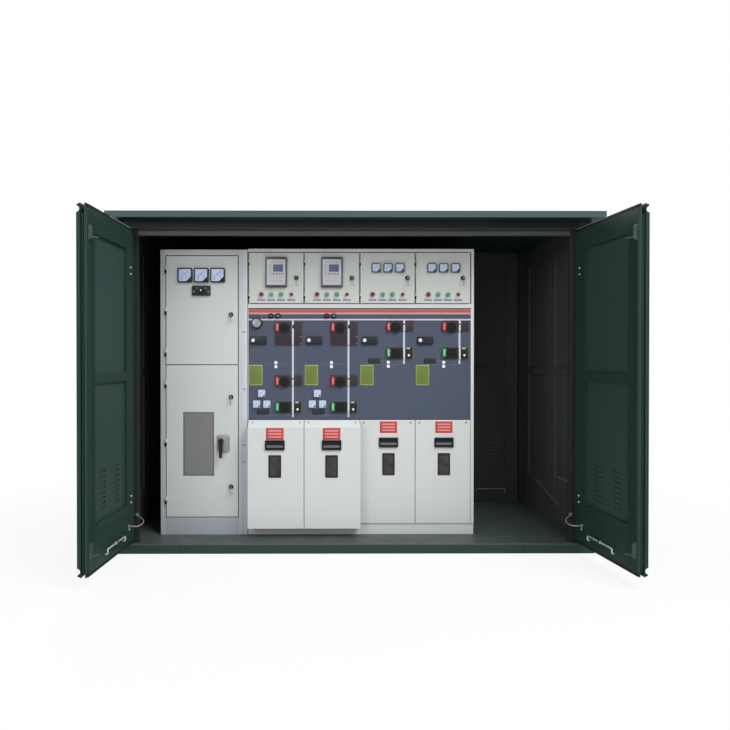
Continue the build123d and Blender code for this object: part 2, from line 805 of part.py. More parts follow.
# Isolator handle: a boss on the plate and a tapering lever that hangs from it
handle_pivot = (isolator_place[0] - handle_side_offset, isolator_place[1] + handle_rise)
handle_face = gear_front - isolator_thickness - running_gap
with BuildPart() as isolator_handle:
    with BuildSketch(facing(handle_face)):
        with Locations(handle_pivot):
            Circle(handle_boss_radius)
    extrude(amount=handle_boss_length)
    with BuildSketch(facing(handle_face - handle_boss_length)):
        with Locations(handle_pivot):
            Circle(handle_root_radius)
            with Locations((0, -handle_arm)):
                Circle(handle_tip_radius)
        make_hull()
    extrude(amount=handle_arm_thickness)
    fillet(isolator_handle.faces().sort_by(Axis.Y)[0].edges(), radius=handle_arm_thickness / 4)
save(isolator_handle.part, "isolator_handle")

# Switchgear unit: plinth, housing with side trims, and the mimic panel
bay_end = bay_line + bay_count * bay_pitch
with BuildPart() as unit_plinth:
    slab((unit_left, unit_right), (gear_front + plinth_setback, unit_back_y), (floor_top, plinth_top))
save(unit_plinth.part, "unit_plinth")

with BuildPart() as tank_housing:
    slab((unit_left, unit_right), (panel_back, unit_back_y), (plinth_top, unit_top))
    slab((unit_left, bay_line), (gear_front, panel_back), (plinth_top, unit_top))
    slab((bay_end, unit_right), (gear_front, panel_back), (plinth_top, unit_top))
save(tank_housing.part, "tank_housing")

with BuildPart() as mimic_panel:
    slab((bay_line, bay_end), (gear_front, panel_back), (panel_bottom, unit_top - panel_joint))
    panel_front_edges = mimic_panel.faces().sort_by(Axis.Y)[0].edges()
    chamfer(panel_front_edges, length=panel_joint)
save(mimic_panel.part, "mimic_panel")

# Cable compartment covers: deep ones with a sloping top on the breaker bays, flat ones on the others
with BuildPart() as deep_cable_covers:
    for bay in breaker_bays:
        cover_left = bay_line + bay * bay_pitch + cover_joint / 2
        with BuildSketch(Plane.YZ.offset(cover_left)):
            hem = plinth_top - deep_cover_drop
            Polygon((panel_back, plinth_top), (gear_front, plinth_top), (gear_front, hem), (cover_front, hem),
                    (cover_front, cover_top - cover_slope), (gear_front, cover_top), (panel_back, cover_top),
                    align=None)
        extrude(amount=bay_pitch - cover_joint)
save(deep_cable_covers.part, "deep_cable_covers")

with BuildPart() as flat_cable_covers:
    for bay in load_bays:
        cover_left = bay_line + bay * bay_pitch + cover_joint / 2
        cover_right = cover_left + bay_pitch - cover_joint
        slab((cover_left, cover_right), (gear_front, panel_back), (plinth_top, cover_top))
    chamfer(flat_cable_covers.faces().group_by(Axis.Y)[0].edges(), length=panel_joint)
save(flat_cable_covers.part, "flat_cable_covers")


def bay_place(bay, x_share, z):
    """A place in a bay, from a share of its pitch, at a height."""
    return (bay_line + (bay + x_share) * bay_pitch, z)


# Grips and viewing windows on the covers
cover_fronts = ((cover_front, breaker_bays, deep_fitting_share, grip_drop + deep_grip_drop),
                (gear_front, load_bays, flat_fitting_share, grip_drop))
with BuildPart() as cover_grips:
    for face_y, bays, x_share, drop in cover_fronts:
        places = [bay_place(bay, x_share, cover_top - drop) for bay in bays]
        framed_box(face_y, places, grip_width, grip_height, grip_proud, grip_rim, grip_proud - grip_rim / 2)
        with BuildSketch(facing(face_y)):
            with Locations(*places):
                Rectangle(grip_width - grip_rim, grip_bar)
        extrude(amount=grip_proud)
save(cover_grips.part, "cover_grips")

with BuildPart() as cover_windows:
    for face_y, bays, x_share, drop in cover_fronts:
        places = [bay_place(bay, x_share, cover_top - cover_window_drop) for bay in bays]
        framed_box(face_y, places, cover_window_width, cover_window_height, cover_window_proud,
                   cover_window_frame, cover_window_sink)
save(cover_windows.part, "cover_windows")


def on_panel(bays, x_share, z_share):
    """Places on the mimic panel in several bays, from shares of the bay and of the panel height."""
    return [bay_place(bay, x_share, panel_bottom + z_share * panel_height) for bay in bays]


def station_plates(places, height):
    """Raised operating plates on the mimic panel, on the part being built."""
    with BuildSketch(facing(gear_front)) as plates:
        with Locations(*places):
            RectangleRounded(station_width, height, station_corner)
    extrude(plates.sketch, amount=station_thickness)


def pills(places):
    """Raised position markers beside the knobs, on the part being built."""
    with BuildSketch(facing(gear_front - station_thickness)) as markers:
        with Locations(*places):
            SlotOverall(pill_length, 2 * pill_radius, rotation=90)
    extrude(markers.sketch, amount=pill_proud)


# Operating stations: switch plates, earthing plates, and the turning knobs on them
switch_rows = ((breaker_bays, breaker_lower_share), (load_bays, load_switch_share))
earth_rows = ((breaker_bays, breaker_earth_share), (load_bays, load_earth_share))
with BuildPart() as switch_stations:
    upper_places = on_panel(breaker_bays, station_x_share, breaker_switch_share)
    tall_places = [(x, z - tall_station_drop) for x, z in upper_places]
    station_plates(tall_places, tall_station_height)
    pills(on_panel(breaker_bays, pill_x_share, breaker_switch_share))
    for bays, share in switch_rows:
        station_plates(on_panel(bays, station_x_share, share), switch_station_height)
        pills(on_panel(bays, pill_x_share, share))
save(switch_stations.part, "switch_stations")

with BuildPart() as earth_stations:
    for bays, share in earth_rows:
        station_plates(on_panel(bays, station_x_share, share), earth_station_height)
        pills(on_panel(bays, pill_x_share, share))
save(earth_stations.part, "earth_stations")

with BuildPart() as station_knobs:
    knob_rows = ((breaker_bays, breaker_switch_share),) + switch_rows + earth_rows
    for bays, share in knob_rows:
        places = on_panel(bays, knob_x_share, share)
        with BuildSketch(facing(gear_front - station_thickness)):
            with Locations(*places):
                Circle(knob_radius)
        extrude(amount=knob_base)
        with BuildSketch(facing(gear_front - station_thickness - knob_base)):
            with Locations(*places):
                SlotOverall(knob_bar_length, knob_bar_width, rotation=90)
        extrude(amount=knob_bar_proud)
save(station_knobs.part, "station_knobs")

# Pressure gauge, turned, with a raised rim, and the voltage indicators and small meters beside it
with BuildPart() as panel_indicators:
    station = on_panel((0,), gauge_x_share, gauge_z_share)[0]
    with BuildSketch(Plane(origin=(station[0], gear_front, station[1]), x_dir=(1, 0, 0), z_dir=(0, 0, 1))):
        with BuildLine():
            face_radius = gauge_radius - gauge_rim
            face_level = gauge_sink - gauge_proud
            Polyline((0, 0), (gauge_radius, 0), (gauge_radius, -gauge_proud), (face_radius, -gauge_proud),
                     (face_radius, face_level), (0, face_level), close=True)
        make_face()
    revolve(axis=Axis((station[0], gear_front, station[1]), (0, 1, 0)))
    with BuildSketch(facing(gear_front)):
        with Locations(*on_panel(range(bay_count), indicator_x_share, indicator_z_share)):
            RectangleRounded(indicator_width, indicator_height, station_corner)
    extrude(amount=indicator_proud)
    for x_share, z_share in zip(small_meter_x_shares, small_meter_z_shares):
        with BuildSketch(facing(gear_front)):
            with Locations(*on_panel(breaker_bays, x_share, z_share)):
                Rectangle(small_meter_size, small_meter_size)
        extrude(amount=small_meter_proud)
save(panel_indicators.part, "panel_indicators")

# Instrument box: uprights between the compartments, top and floor with front strips and an end trim, and back
box_back_y = gear_front + box_depth
upright_front = door_back + door_gap
with BuildPart() as instrument_uprights:
    for bay in range(bay_count + 1):
        middle = bay_line + bay * bay_pitch
        upright_left = max(middle - upright_thickness / 2, unit_left)
        upright_right = unit_right if bay == bay_count else middle + upright_thickness / 2
        slab((upright_left, upright_right), (upright_front, box_back_y - sheet), (box_floor, box_top - sheet))
save(instrument_uprights.part, "instrument_uprights")

with BuildPart() as instrument_plates:
    strip_bottom = instrument_door_bottom + instrument_door_height + door_gap
    slab((unit_left, unit_right), (gear_front, box_back_y), (box_top - sheet, box_top))
    slab((unit_left, unit_right), (gear_front, door_back), (strip_bottom, box_top))
    slab((unit_left, unit_right), (gear_front, box_back_y), (unit_top, box_floor))
    slab((unit_right - end_trim_width, unit_right), (gear_front, upright_front), (box_floor, strip_bottom))
save(instrument_plates.part, "instrument_plates")

with BuildPart() as instrument_back:
    slab((unit_left, unit_right), (box_back_y - sheet, box_back_y), (box_floor, box_top - sheet))
save(instrument_back.part, "instrument_back")


def instrument_door_left(bay):
    """Left edge of a bay's instrument door."""
    return bay_line + bay * bay_pitch + instrument_door_margin


def instrument_pivot(bay):
    """Hinge line of a bay's instrument door, in plan."""
    return (instrument_door_left(bay) - door_gap / 2, instrument_knuckle_y)


# Instrument doors with their relays or meters, buttons and locks
for bay in range(bay_count):
    left = instrument_door_left(bay)
    door = hinged_pan(left, instrument_door_bottom, instrument_door_width, instrument_door_height,
                      instrument_pivot(bay), instrument_knuckle_radius, instrument_knuckle_length,
                      instrument_hinge_shares)
    save(door, f"instrument_door_{bay + 1}")
    place = (left, instrument_door_bottom, instrument_door_width, instrument_door_height)
    with BuildPart() as controls:
        if bay in breaker_bays:
            relay_place = on_door(*place, relay_x_share, relay_z_share)
            framed_box(gear_front, [relay_place], relay_width, relay_height, relay_proud, relay_rim, relay_sink)
        else:
            places = [on_door(*place, share, panel_meter_z_share) for share in panel_meter_x_shares]
            framed_box(gear_front, places, panel_meter_size, panel_meter_size, panel_meter_proud,
                       meter_bezel, meter_face_sink)
        with BuildSketch(facing(gear_front)):
            with Locations(*[on_door(*place, share, button_z_share) for share in button_x_shares]):
                Circle(button_radius)
        extrude(amount=button_proud)
        lock_with_key(gear_front, [on_door(*place, instrument_lock_x_share, instrument_lock_z_share)])
    save(controls.part, f"bay_{bay + 1}_controls")

# Fixed hinge halves: on the frame strip beside the metering doors, on the uprights behind the instrument doors
with BuildPart() as door_hinges:
    for door_bottom, door_height in ((upper_door_bottom, upper_door_height), (lower_door_bottom, lower_height)):
        for share in metering_hinge_shares:
            knuckle_top = door_bottom + share * door_height
            with BuildSketch(Plane.XY.offset(knuckle_top - knuckle_length)):
                with Locations(metering_pivot):
                    Circle(knuckle_radius)
                rectangle_between((metering_pivot[0] - hinge_leaf_width, gear_front - hinge_leaf_thickness),
                                  (metering_pivot[0], gear_front))
            extrude(amount=knuckle_length)
    for bay in range(bay_count):
        pivot = instrument_pivot(bay)
        for share in instrument_hinge_shares:
            knuckle_top = instrument_door_bottom + share * instrument_door_height
            with BuildSketch(Plane.XY.offset(knuckle_top - instrument_knuckle_length)):
                with Locations(pivot):
                    Circle(instrument_knuckle_radius)
                rectangle_between((pivot[0] - hinge_leaf_thickness, pivot[1]), (pivot[0], upright_front))
            extrude(amount=instrument_knuckle_length)
save(door_hinges.part, "door_hinges")
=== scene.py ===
from math import radians

import bpy
import numpy as np
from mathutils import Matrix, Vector


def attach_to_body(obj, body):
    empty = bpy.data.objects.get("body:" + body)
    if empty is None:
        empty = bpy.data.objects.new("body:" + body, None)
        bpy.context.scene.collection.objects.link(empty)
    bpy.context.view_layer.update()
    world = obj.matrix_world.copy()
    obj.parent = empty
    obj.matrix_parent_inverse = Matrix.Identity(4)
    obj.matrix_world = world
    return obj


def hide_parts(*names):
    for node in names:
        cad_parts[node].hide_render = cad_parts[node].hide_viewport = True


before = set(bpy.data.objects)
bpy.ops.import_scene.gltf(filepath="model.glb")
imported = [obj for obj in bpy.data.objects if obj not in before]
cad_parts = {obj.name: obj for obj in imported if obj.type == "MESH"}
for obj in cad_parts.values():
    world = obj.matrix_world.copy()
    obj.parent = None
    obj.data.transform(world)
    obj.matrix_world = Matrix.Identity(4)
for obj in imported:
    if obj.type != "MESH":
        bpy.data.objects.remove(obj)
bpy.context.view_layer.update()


# The studio: a pale round floor, white all round, a broad key light from the front right, a weaker one from
# the left and one from behind. The floor is lit near the cabinet, to keep its shadow, and white further out.
def wire(tree, kind, inputs=None, **settings):
    """Add a node, set its properties, and give each named input a value or a link."""
    node = tree.nodes.new(kind)
    for key, value in settings.items():
        setattr(node, key, value)
    for key, value in (inputs or {}).items():
        if isinstance(value, bpy.types.NodeSocket):
            tree.links.new(value, node.inputs[key])
        else:
            node.inputs[key].default_value = value
    return node


def attach(kind, inputs, **settings):
    """Add a node to the tree of its first linked input."""
    tree = next(value.id_data for value in inputs.values() if isinstance(value, bpy.types.NodeSocket))
    return wire(tree, kind, inputs, **settings)


def maths(operation, first, second=0.0):
    """The result of one sum on two values or sockets."""
    return attach("ShaderNodeMath", {0: first, 1: second}, operation=operation).outputs[0]


def spread(value, low, high, to_low=0.0, to_high=1.0):
    """Stretch a value from one range onto another, held at the ends."""
    return attach("ShaderNodeMapRange", {"Value": value, "From Min": low, "From Max": high, "To Min": to_low,
                                         "To Max": to_high}).outputs[0]


def object_place(tree):
    """A point's place in the shared frame."""
    return wire(tree, "ShaderNodeTexCoord").outputs["Object"]


def blank_finish(name):
    """An empty material and its tree."""
    finish = bpy.data.materials.new(name)
    finish.use_nodes = True
    finish.node_tree.nodes.clear()
    return finish, finish.node_tree


def add_mesh(name, points, faces, finish):
    """A mesh object at the origin from an array of points and a list of faces."""
    mesh = bpy.data.meshes.new(name)
    mesh.from_pydata(points.reshape(-1, 3).tolist(), [], faces)
    mesh.materials.append(finish)
    piece = bpy.data.objects.new(name, mesh)
    bpy.context.scene.collection.objects.link(piece)
    return piece


def soft_lamp(name, place, target, size, watts):
    """A square area lamp that faces a point."""
    lamp = bpy.data.lights.new(name, "AREA")
    lamp.size = size
    lamp.energy = watts
    holder = bpy.data.objects.new(name, lamp)
    holder.location = place
    holder.rotation_euler = (Vector(target) - Vector(place)).to_track_quat("-Z", "Y").to_euler()
    bpy.context.scene.collection.objects.link(holder)


floor_radius = 14.0
floor_sides = 96
floor_grey = (0.8, 0.8, 0.8, 1)
plain_white = (1, 1, 1, 1)
sky_fill = (0.94, 0.97, 1.0, 1)
sky_strength = 0.37
shadow_reach = (1.7, 3.2)
near_white = 0.88
floor_finish, tree = blank_finish("studio_floor")
distance = wire(tree, "ShaderNodeVectorMath", {0: object_place(tree)}, operation="LENGTH").outputs["Value"]
whiteness = spread(distance, *shadow_reach, near_white, 1.0)
path = wire(tree, "ShaderNodeLightPath").outputs
seen = maths("MAXIMUM", path["Is Camera Ray"], path["Is Glossy Ray"])
lit = wire(tree, "ShaderNodeBsdfDiffuse", {"Color": floor_grey})
white = wire(tree, "ShaderNodeEmission", {"Color": plain_white, "Strength": 1.0})
shown = maths("MULTIPLY", seen, whiteness)
mixed = wire(tree, "ShaderNodeMixShader", {0: shown, 1: lit.outputs[0], 2: white.outputs[0]})
wire(tree, "ShaderNodeOutputMaterial", {"Surface": mixed.outputs[0]})
turns = np.linspace(0, 2 * np.pi, floor_sides, endpoint=False)
rim = floor_radius * np.stack([np.cos(turns), np.sin(turns), 0 * turns], -1)
studio_floor = add_mesh("studio_floor", rim, [list(range(floor_sides))], floor_finish)

world = bpy.data.worlds.new("studio_white")
bpy.context.scene.world = world
world.use_nodes = True
tree = world.node_tree
tree.nodes.clear()
path = wire(tree, "ShaderNodeLightPath").outputs
seen = maths("MAXIMUM", path["Is Camera Ray"], path["Is Glossy Ray"])
seen = maths("MAXIMUM", seen, path["Is Transmission Ray"])
fill = wire(tree, "ShaderNodeBackground", {"Color": sky_fill, "Strength": sky_strength})
white = wire(tree, "ShaderNodeBackground", {"Color": plain_white, "Strength": 1.0})
mixed = wire(tree, "ShaderNodeMixShader", {0: seen, 1: fill.outputs[0], 2: white.outputs[0]})
wire(tree, "ShaderNodeOutputWorld", {"Surface": mixed.outputs[0]})

gear_middle = (0, -0.4, 1.0)
soft_lamp("key_lamp", (2.3, -3.7, 5.6), gear_middle, size=3.2, watts=361)
soft_lamp("fill_lamp", (-3.0, -6.0, 3.0), gear_middle, size=3.0, watts=120)
soft_lamp("back_lamp", (-2.5, 5.5, 4.5), gear_middle, size=3.0, watts=220)

camera_tilt = -0.439
camera_turn = -0.261
camera = bpy.data.cameras.new("photo_camera")
camera.sensor_width = 36
camera.lens = 33.55
camera.shift_x = 0.07025
camera_holder = bpy.data.objects.new("photo_camera", camera)
camera_holder.location = (-0.2472, -4.394, 1.0897)
camera_holder.rotation_euler = (radians(90 + camera_tilt), 0, radians(camera_turn))
bpy.context.scene.collection.objects.link(camera_holder)
bpy.context.scene.camera = camera_holder
bpy.context.scene.view_settings.view_transform = "Standard"


# Earth leads: a short flexible braid from a bolt on each inner leaf to a bolt on the jamb stop.
# Copper wire, clamped under a ring lug and a plated bolt at both ends, hanging in a loop.
def start_group(name, inputs, outputs):
    """An empty shader node group with named sockets: its tree, input sockets and output node."""
    tree = bpy.data.node_groups.new(name, "ShaderNodeTree")
    for label, kind in inputs:
        tree.interface.new_socket(label, in_out="INPUT", socket_type="NodeSocket" + kind)
    for label, kind in outputs:
        tree.interface.new_socket(label, in_out="OUTPUT", socket_type="NodeSocket" + kind)
    return tree, tree.nodes.new("NodeGroupInput").outputs, tree.nodes.new("NodeGroupOutput").inputs


def use_group(tree, group, inputs):
    """The outputs of a group placed in a tree with its own values."""
    return wire(tree, "ShaderNodeGroup", inputs, node_tree=group).outputs


def mix_colours(share, first, second):
    """Blend two colours by a share from 0 to 1."""
    return attach("ShaderNodeMix", {0: share, 6: first, 7: second}, data_type="RGBA").outputs[2]


def noise(place, scale, detail, roughness=0.5):
    """A cloudy value from 0 to 1."""
    return attach("ShaderNodeTexNoise", {"Vector": place, "Scale": scale, "Detail": detail,
                                         "Roughness": roughness}).outputs["Fac"]


# Stains: cloudy noise stretched down the surface shifts a colour towards its stain
streak = (1.0, 1.0, 0.22)
stain_range = (0.34, 0.76)
stain_group, given, made = start_group(
    "stained_colour", [("Colour", "Color"), ("Stain", "Color"), ("Amount", "Float"), ("Scale", "Float")],
    [("Colour", "Color"), ("Mask", "Float")])
place = object_place(stain_group)
stretched = attach("ShaderNodeMapping", {"Vector": place, "Scale": streak}).outputs[0]
mask = spread(noise(stretched, given["Scale"], 6.0, 0.62), *stain_range)
share = maths("MULTIPLY", mask, given["Amount"])
stain_group.links.new(mix_colours(share, given["Colour"], given["Stain"]), made["Colour"])
stain_group.links.new(mask, made["Mask"])

# Worn edges: where a rounded normal leaves the true one there is an edge, broken up by noise
chip_scale = 46.0
bend_strength = 2.4
wear_range = (0.86, 1.12)
edge_group, given, made = start_group(
    "worn_edges", [("Reach", "Float")], [("Mask", "Float"), ("Normal", "Vector")])
rounded = attach("ShaderNodeBevel", {"Radius": given["Reach"]}, samples=4).outputs[0]
true_normal = wire(edge_group, "ShaderNodeNewGeometry").outputs["Normal"]
agreement = attach("ShaderNodeVectorMath", {0: rounded, 1: true_normal}, operation="DOT_PRODUCT")
chips = noise(object_place(edge_group), chip_scale, 5.0, 0.7)
bend = maths("SUBTRACT", 1.0, agreement.outputs["Value"])
bend = maths("MULTIPLY", bend, bend_strength)
chipped = maths("ADD", bend, chips)
edge_group.links.new(spread(chipped, *wear_range), made["Mask"])
edge_group.links.new(rounded, made["Normal"])

# Grain: the fine bump of sprayed paint, moulding or drawn metal
grain_depth = 0.001
grain_group, given, made = start_group(
    "fine_grain", [("Scale", "Float"), ("Relief", "Float"), ("Normal", "Vector")], [("Normal", "Vector")])
grain = noise(object_place(grain_group), given["Scale"], 2.0)
bumped = attach("ShaderNodeBump", {"Strength": given["Relief"], "Distance": grain_depth, "Height": grain,
                                   "Normal": given["Normal"]})
grain_group.links.new(bumped.outputs[0], made["Normal"])


def rgba(colour):
    """A colour with full alpha."""
    return (*colour, 1.0)


def stained(tree, colour, stain, amount, scale):
    """A colour, or the socket of one, with its stain: the outputs Colour and Mask."""
    inputs = {"Colour": colour, "Stain": rgba(stain), "Amount": amount, "Scale": scale}
    return use_group(tree, stain_group, inputs)


def grained(tree, scale, relief, normal):
    """A normal with fine grain on it."""
    return use_group(tree, grain_group, {"Scale": scale, "Relief": relief, "Normal": normal})["Normal"]


def shaded(tree, colour, roughness, normal, gloss=0.5, **sockets):
    """End a material in a Principled shader. Further sockets are set by name, with _ for a space."""
    inputs = {"Base Color": colour, "Roughness": roughness, "Normal": normal, "Specular IOR Level": gloss}
    inputs.update({key.replace("_", " "): value for key, value in sockets.items()})
    shader = wire(tree, "ShaderNodeBsdfPrincipled", inputs)
    wire(tree, "ShaderNodeOutputMaterial", {"Surface": shader.outputs[0]})


def inked(colour, marks):
    """A colour with marks laid over it, each a mask and the colour of its ink."""
    for mask, ink in marks:
        colour = mix_colours(mask, colour, rgba(ink))
    return colour


def coating(name, colour, stain, wear, roughness, amount=0.5, scale=2.4, reach=0.003, grain=700.0, relief=0.1,
            gloss=0.3, marks=None, **sockets):
    """A coat of paint, plastic or plating: stained in streaks, worn along its edges, over a fine grain.

    Marks is a function of the tree that gives masks with the colour of the coat inside them.
    """
    finish, tree = blank_finish(name)
    coat = inked(rgba(colour), marks(tree) if marks else ())
    coat = stained(tree, coat, stain, amount, scale)
    edges = use_group(tree, edge_group, {"Reach": reach})
    worn = mix_colours(edges["Mask"], coat["Colour"], rgba(wear))
    rough = spread(coat["Mask"], 0.0, 1.0, roughness - 0.06, roughness + 0.08)
    shaded(tree, worn, rough, grained(tree, grain, relief, edges["Normal"]), gloss, **sockets)
    return finish


def rounded_outline(width, height, corner, steps):
    """Points round a rectangle with arcs for corners: corner centre plus radius times (cosine, sine)."""
    sides = np.repeat([[1, 1], [-1, 1], [-1, -1], [1, -1]], steps, axis=0)
    turns = (np.arange(4)[:, None] * np.pi / 2 + np.linspace(0, np.pi / 2, steps)).ravel()
    centres = sides * (np.array([width, height]) / 2 - corner)
    return centres + corner * np.stack([np.cos(turns), np.sin(turns)], -1)


def raised_form(width, height, corner, profile, steps=4):
    """A profile carried round an outline: ring by ring it shrinks by the inset and stands out by the rise."""
    rings = []
    for inset, rise in profile:
        outline = rounded_outline(width - 2 * inset, height - 2 * inset, max(corner - inset, 1e-5), steps)
        rings.append(np.column_stack([outline, np.full(4 * steps, rise)]))
    return np.array(rings)


def turned_form(radius, profile, steps=6):
    """The same with a circle for outline, as from a lathe."""
    return raised_form(2 * radius, 2 * radius, radius, profile, steps)


facing_front = np.array([[1, 0, 0], [0, 0, 1], [0, -1, 0]])
sharp_angle = radians(38)


def add_piece(name, body, slot, finish, rings, places, origin=(0, 0, 0), axes=facing_front, ring_shaped=False,
              node=None):
    """Copies of a form at places (right, up, out) on a plane, as one piece: origin plus local times axes.

    Quads join each ring to the next, and caps close the ends unless the section is itself a ring. The piece's
    own UV map holds each point's place on its form, from -1 to 1 across the width and the height. A CAD node
    given as node is the one that the piece stands in for.
    """
    places = np.asarray(places, float).reshape(-1, 3)
    local = rings[None] + places[:, None, None, :]
    points = np.asarray(origin) + local @ axes
    index = np.arange(points.size // 3).reshape(points.shape[:3])
    rows = np.concatenate([index, index[:, :1]], 1) if ring_shaped else index
    beside = np.roll(rows, -1, axis=2)
    faces = np.stack([rows[:, :-1], beside[:, :-1], beside[:, 1:], rows[:, 1:]], -1).reshape(-1, 4).tolist()
    if not ring_shaped:
        faces += index[:, -1].tolist() + index[:, 0, ::-1].tolist()
    piece = add_mesh(name, points, faces, finish)
    mesh = piece.data
    spot = np.tile((rings / np.abs(rings).max((0, 1)))[..., :2].reshape(-1, 2), (len(places), 1))
    corners = np.empty(len(mesh.loops), int)
    mesh.loops.foreach_get("vertex_index", corners)
    mesh.uv_layers.new(name="face_map").data.foreach_set("uv", spot[corners].astype(np.float32).ravel())
    mesh.shade_smooth()
    mesh.set_sharp_from_angle(angle=sharp_angle)
    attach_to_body(piece, body)
    if node:
        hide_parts(node)
    return piece


lead_route = ((1.24275, -0.67374, 0.179), (1.22082, -0.67547, 0.179), (1.197, -0.666, 0.176),
              (1.18, -0.643, 0.18), (1.1745, -0.614, 0.188), (1.1855, -0.591, 0.198),
              (1.2045, -0.577, 0.206), (1.2235, -0.561, 0.211), (1.2295, -0.545, 0.212))
lead_diameter = 0.007
lug_radius = 0.011
lug_profile = ((0, 0), (0, 0.002), (0.003, 0.0022), (0.0032, 0.006), (0.006, 0.0065))
leaf_turn = radians(4.5)
leaf_root = np.array([1.236, -0.588, 0.066])
along_leaf = np.array([np.sin(leaf_turn), -np.cos(leaf_turn), 0])
into_cabinet = np.array([-np.cos(leaf_turn), -np.sin(leaf_turn), 0])
upward = np.array([0, 0, 1])
both_sides = (("right", np.array([1, 1, 1])), ("left", np.array([-1, 1, 1])))
in_place = [(0, 0, 0)]
zinc = coating("dull_zinc", (0.24, 0.25, 0.25), (0.14, 0.15, 0.15), (0.42, 0.43, 0.43), 0.42, amount=0.7,
               scale=30.0, reach=0.002, grain=500.0, relief=0.15, Metallic=0.4)
strand_scale = 150.0
braid_dark = (0.28, 0.185, 0.14)
braid_bright = (0.62, 0.46, 0.38)
copper, tree = blank_finish("copper_braid")
strand = {"Vector": object_place(tree), "Scale": strand_scale, "Distortion": 1.2}
waves = [wire(tree, "ShaderNodeTexWave", strand, wave_type="BANDS", bands_direction=direction)
         for direction in ("DIAGONAL", "Z")]
weave = maths("MULTIPLY", *[wave.outputs["Fac"] for wave in waves])
braid_colour = mix_colours(weave, rgba(braid_dark), rgba(braid_bright))
braid_bump = wire(tree, "ShaderNodeBump", {"Strength": 0.5, "Distance": 0.0008, "Height": weave}).outputs[0]
shaded(tree, braid_colour, spread(weave, 0, 1, 0.55, 0.36), braid_bump, Metallic=0.3)
for side, sign in both_sides:
    curve = bpy.data.curves.new(f"{side}_copper_lead", "CURVE")
    curve.dimensions = "3D"
    spline = curve.splines.new("NURBS")
    spline.points.add(len(lead_route) - 1)
    route = np.column_stack([np.array(lead_route) * sign, np.ones(len(lead_route))])
    spline.points.foreach_set("co", route.ravel())
    spline.order_u = 3
    spline.use_endpoint_u = True
    spline.resolution_u = 8
    curve.bevel_depth = lead_diameter / 2
    curve.bevel_resolution = 3
    curve.use_fill_caps = True
    curve.materials.append(copper)
    lead = bpy.data.objects.new(f"{side}_copper_lead", curve)
    bpy.context.scene.collection.objects.link(lead)
    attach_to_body(lead, "enclosure")
    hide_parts(f"{side}_earth_lead")
    axes = np.array([along_leaf * sign * sign[0], upward, into_cabinet * sign])
    lug_form = turned_form(lug_radius, lug_profile)
    leaf_end = route[0, :3]
    jamb_end = route[-1, :3]
    leaf_lug = add_piece(f"{side}_leaf_lug", "enclosure", "steel", zinc, lug_form, in_place, leaf_end, axes)
    jamb_lug = add_piece(f"{side}_jamb_lug", "enclosure", "steel", zinc, lug_form, in_place, jamb_end)


# Enclosure: base channels, corner posts, header, hip roof and closed outer walls, welded from folded sheet.
# Sprayed dark green, satin, dulled by dust below and on top, and rubbed paler along its edges. The roof is
# also paler as a painted sky reflection; painted shade darkens its underside, the header and the posts
# inside.
def near(value, centre, reach):
    """1 where a value lies within reach of a centre, else 0."""
    return attach("ShaderNodeMath", {0: value, 1: centre, 2: reach}, operation="COMPARE").outputs[0]


def between(value, low, high):
    """1 where a value lies between two others, else 0."""
    return near(value, (low + high) / 2, (high - low) / 2)


def over(value, limit):
    """1 where a value is above a limit, else 0."""
    return maths("GREATER_THAN", value, limit)


def both(*masks):
    """1 where every mask is 1."""
    result = masks[0]
    for mask in masks[1:]:
        result = maths("MULTIPLY", result, mask)
    return result


def point_place(tree):
    """The sockets X, Y and Z of a point's place in the shared frame."""
    return wire(tree, "ShaderNodeSeparateXYZ", {0: object_place(tree)}).outputs


def banded(axis, low, high, colour):
    """One mark for a coating: a colour between two places along an axis."""
    return lambda tree: [(between(point_place(tree)[axis], low, high), colour)]


def inside(tree):
    """1 within the walls, else 0."""
    place = point_place(tree)
    return both(near(place["X"], 0, inner_edge), between(place["Y"], inner_front, inner_back))


def dress(finish, *names):
    """Give CAD nodes a finish in place of their plain one."""
    for name in names:
        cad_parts[name].data.materials.clear()
        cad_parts[name].data.materials.append(finish)


green = (0.02, 0.046, 0.038)
green_stain = (0.03, 0.052, 0.047)
green_wear = (0.06, 0.085, 0.078)
spray_grain = 420.0
roof_under = 1.8695
header_bottom = 1.828
beyond_all = 3
inner_edge = 1.318
inner_back = 0.571
inner_front = -0.56
back_slot_floor = 0.563
side_slot_floor = 1.311
side_wall_line = 1.25
# The roof is paler than the walls, partly dust and partly a painted sky reflection; its underside is painted
# shade.
dress(coating("roof_paint", (0.062, 0.096, 0.095), (0.044, 0.074, 0.07), (0.1, 0.13, 0.125), 0.5,
              reach=0.004, grain=spray_grain, gloss=0.04,
              marks=banded("Z", 0, roof_under, (0.01, 0.022, 0.019))),
      "roof")
dress(coating("base_paint", (0.017, 0.043, 0.034), (0.022, 0.046, 0.04), (0.05, 0.072, 0.066), 0.46,
              reach=0.004, grain=spray_grain, gloss=0.2),
      "base_long_rails", "base_cross_rails")
# Above header_bottom the header is painted near black, as painted shade under the roof's overhang.
dress(coating("header_paint", (0.086, 0.089, 0.093), (0.06, 0.064, 0.066), (0.06, 0.066, 0.066), 0.5,
              amount=0.3, reach=0.002, grain=spray_grain, gloss=0.15,
              marks=banded("Z", header_bottom, beyond_all, (0.007, 0.009, 0.009))),
      "front_header")
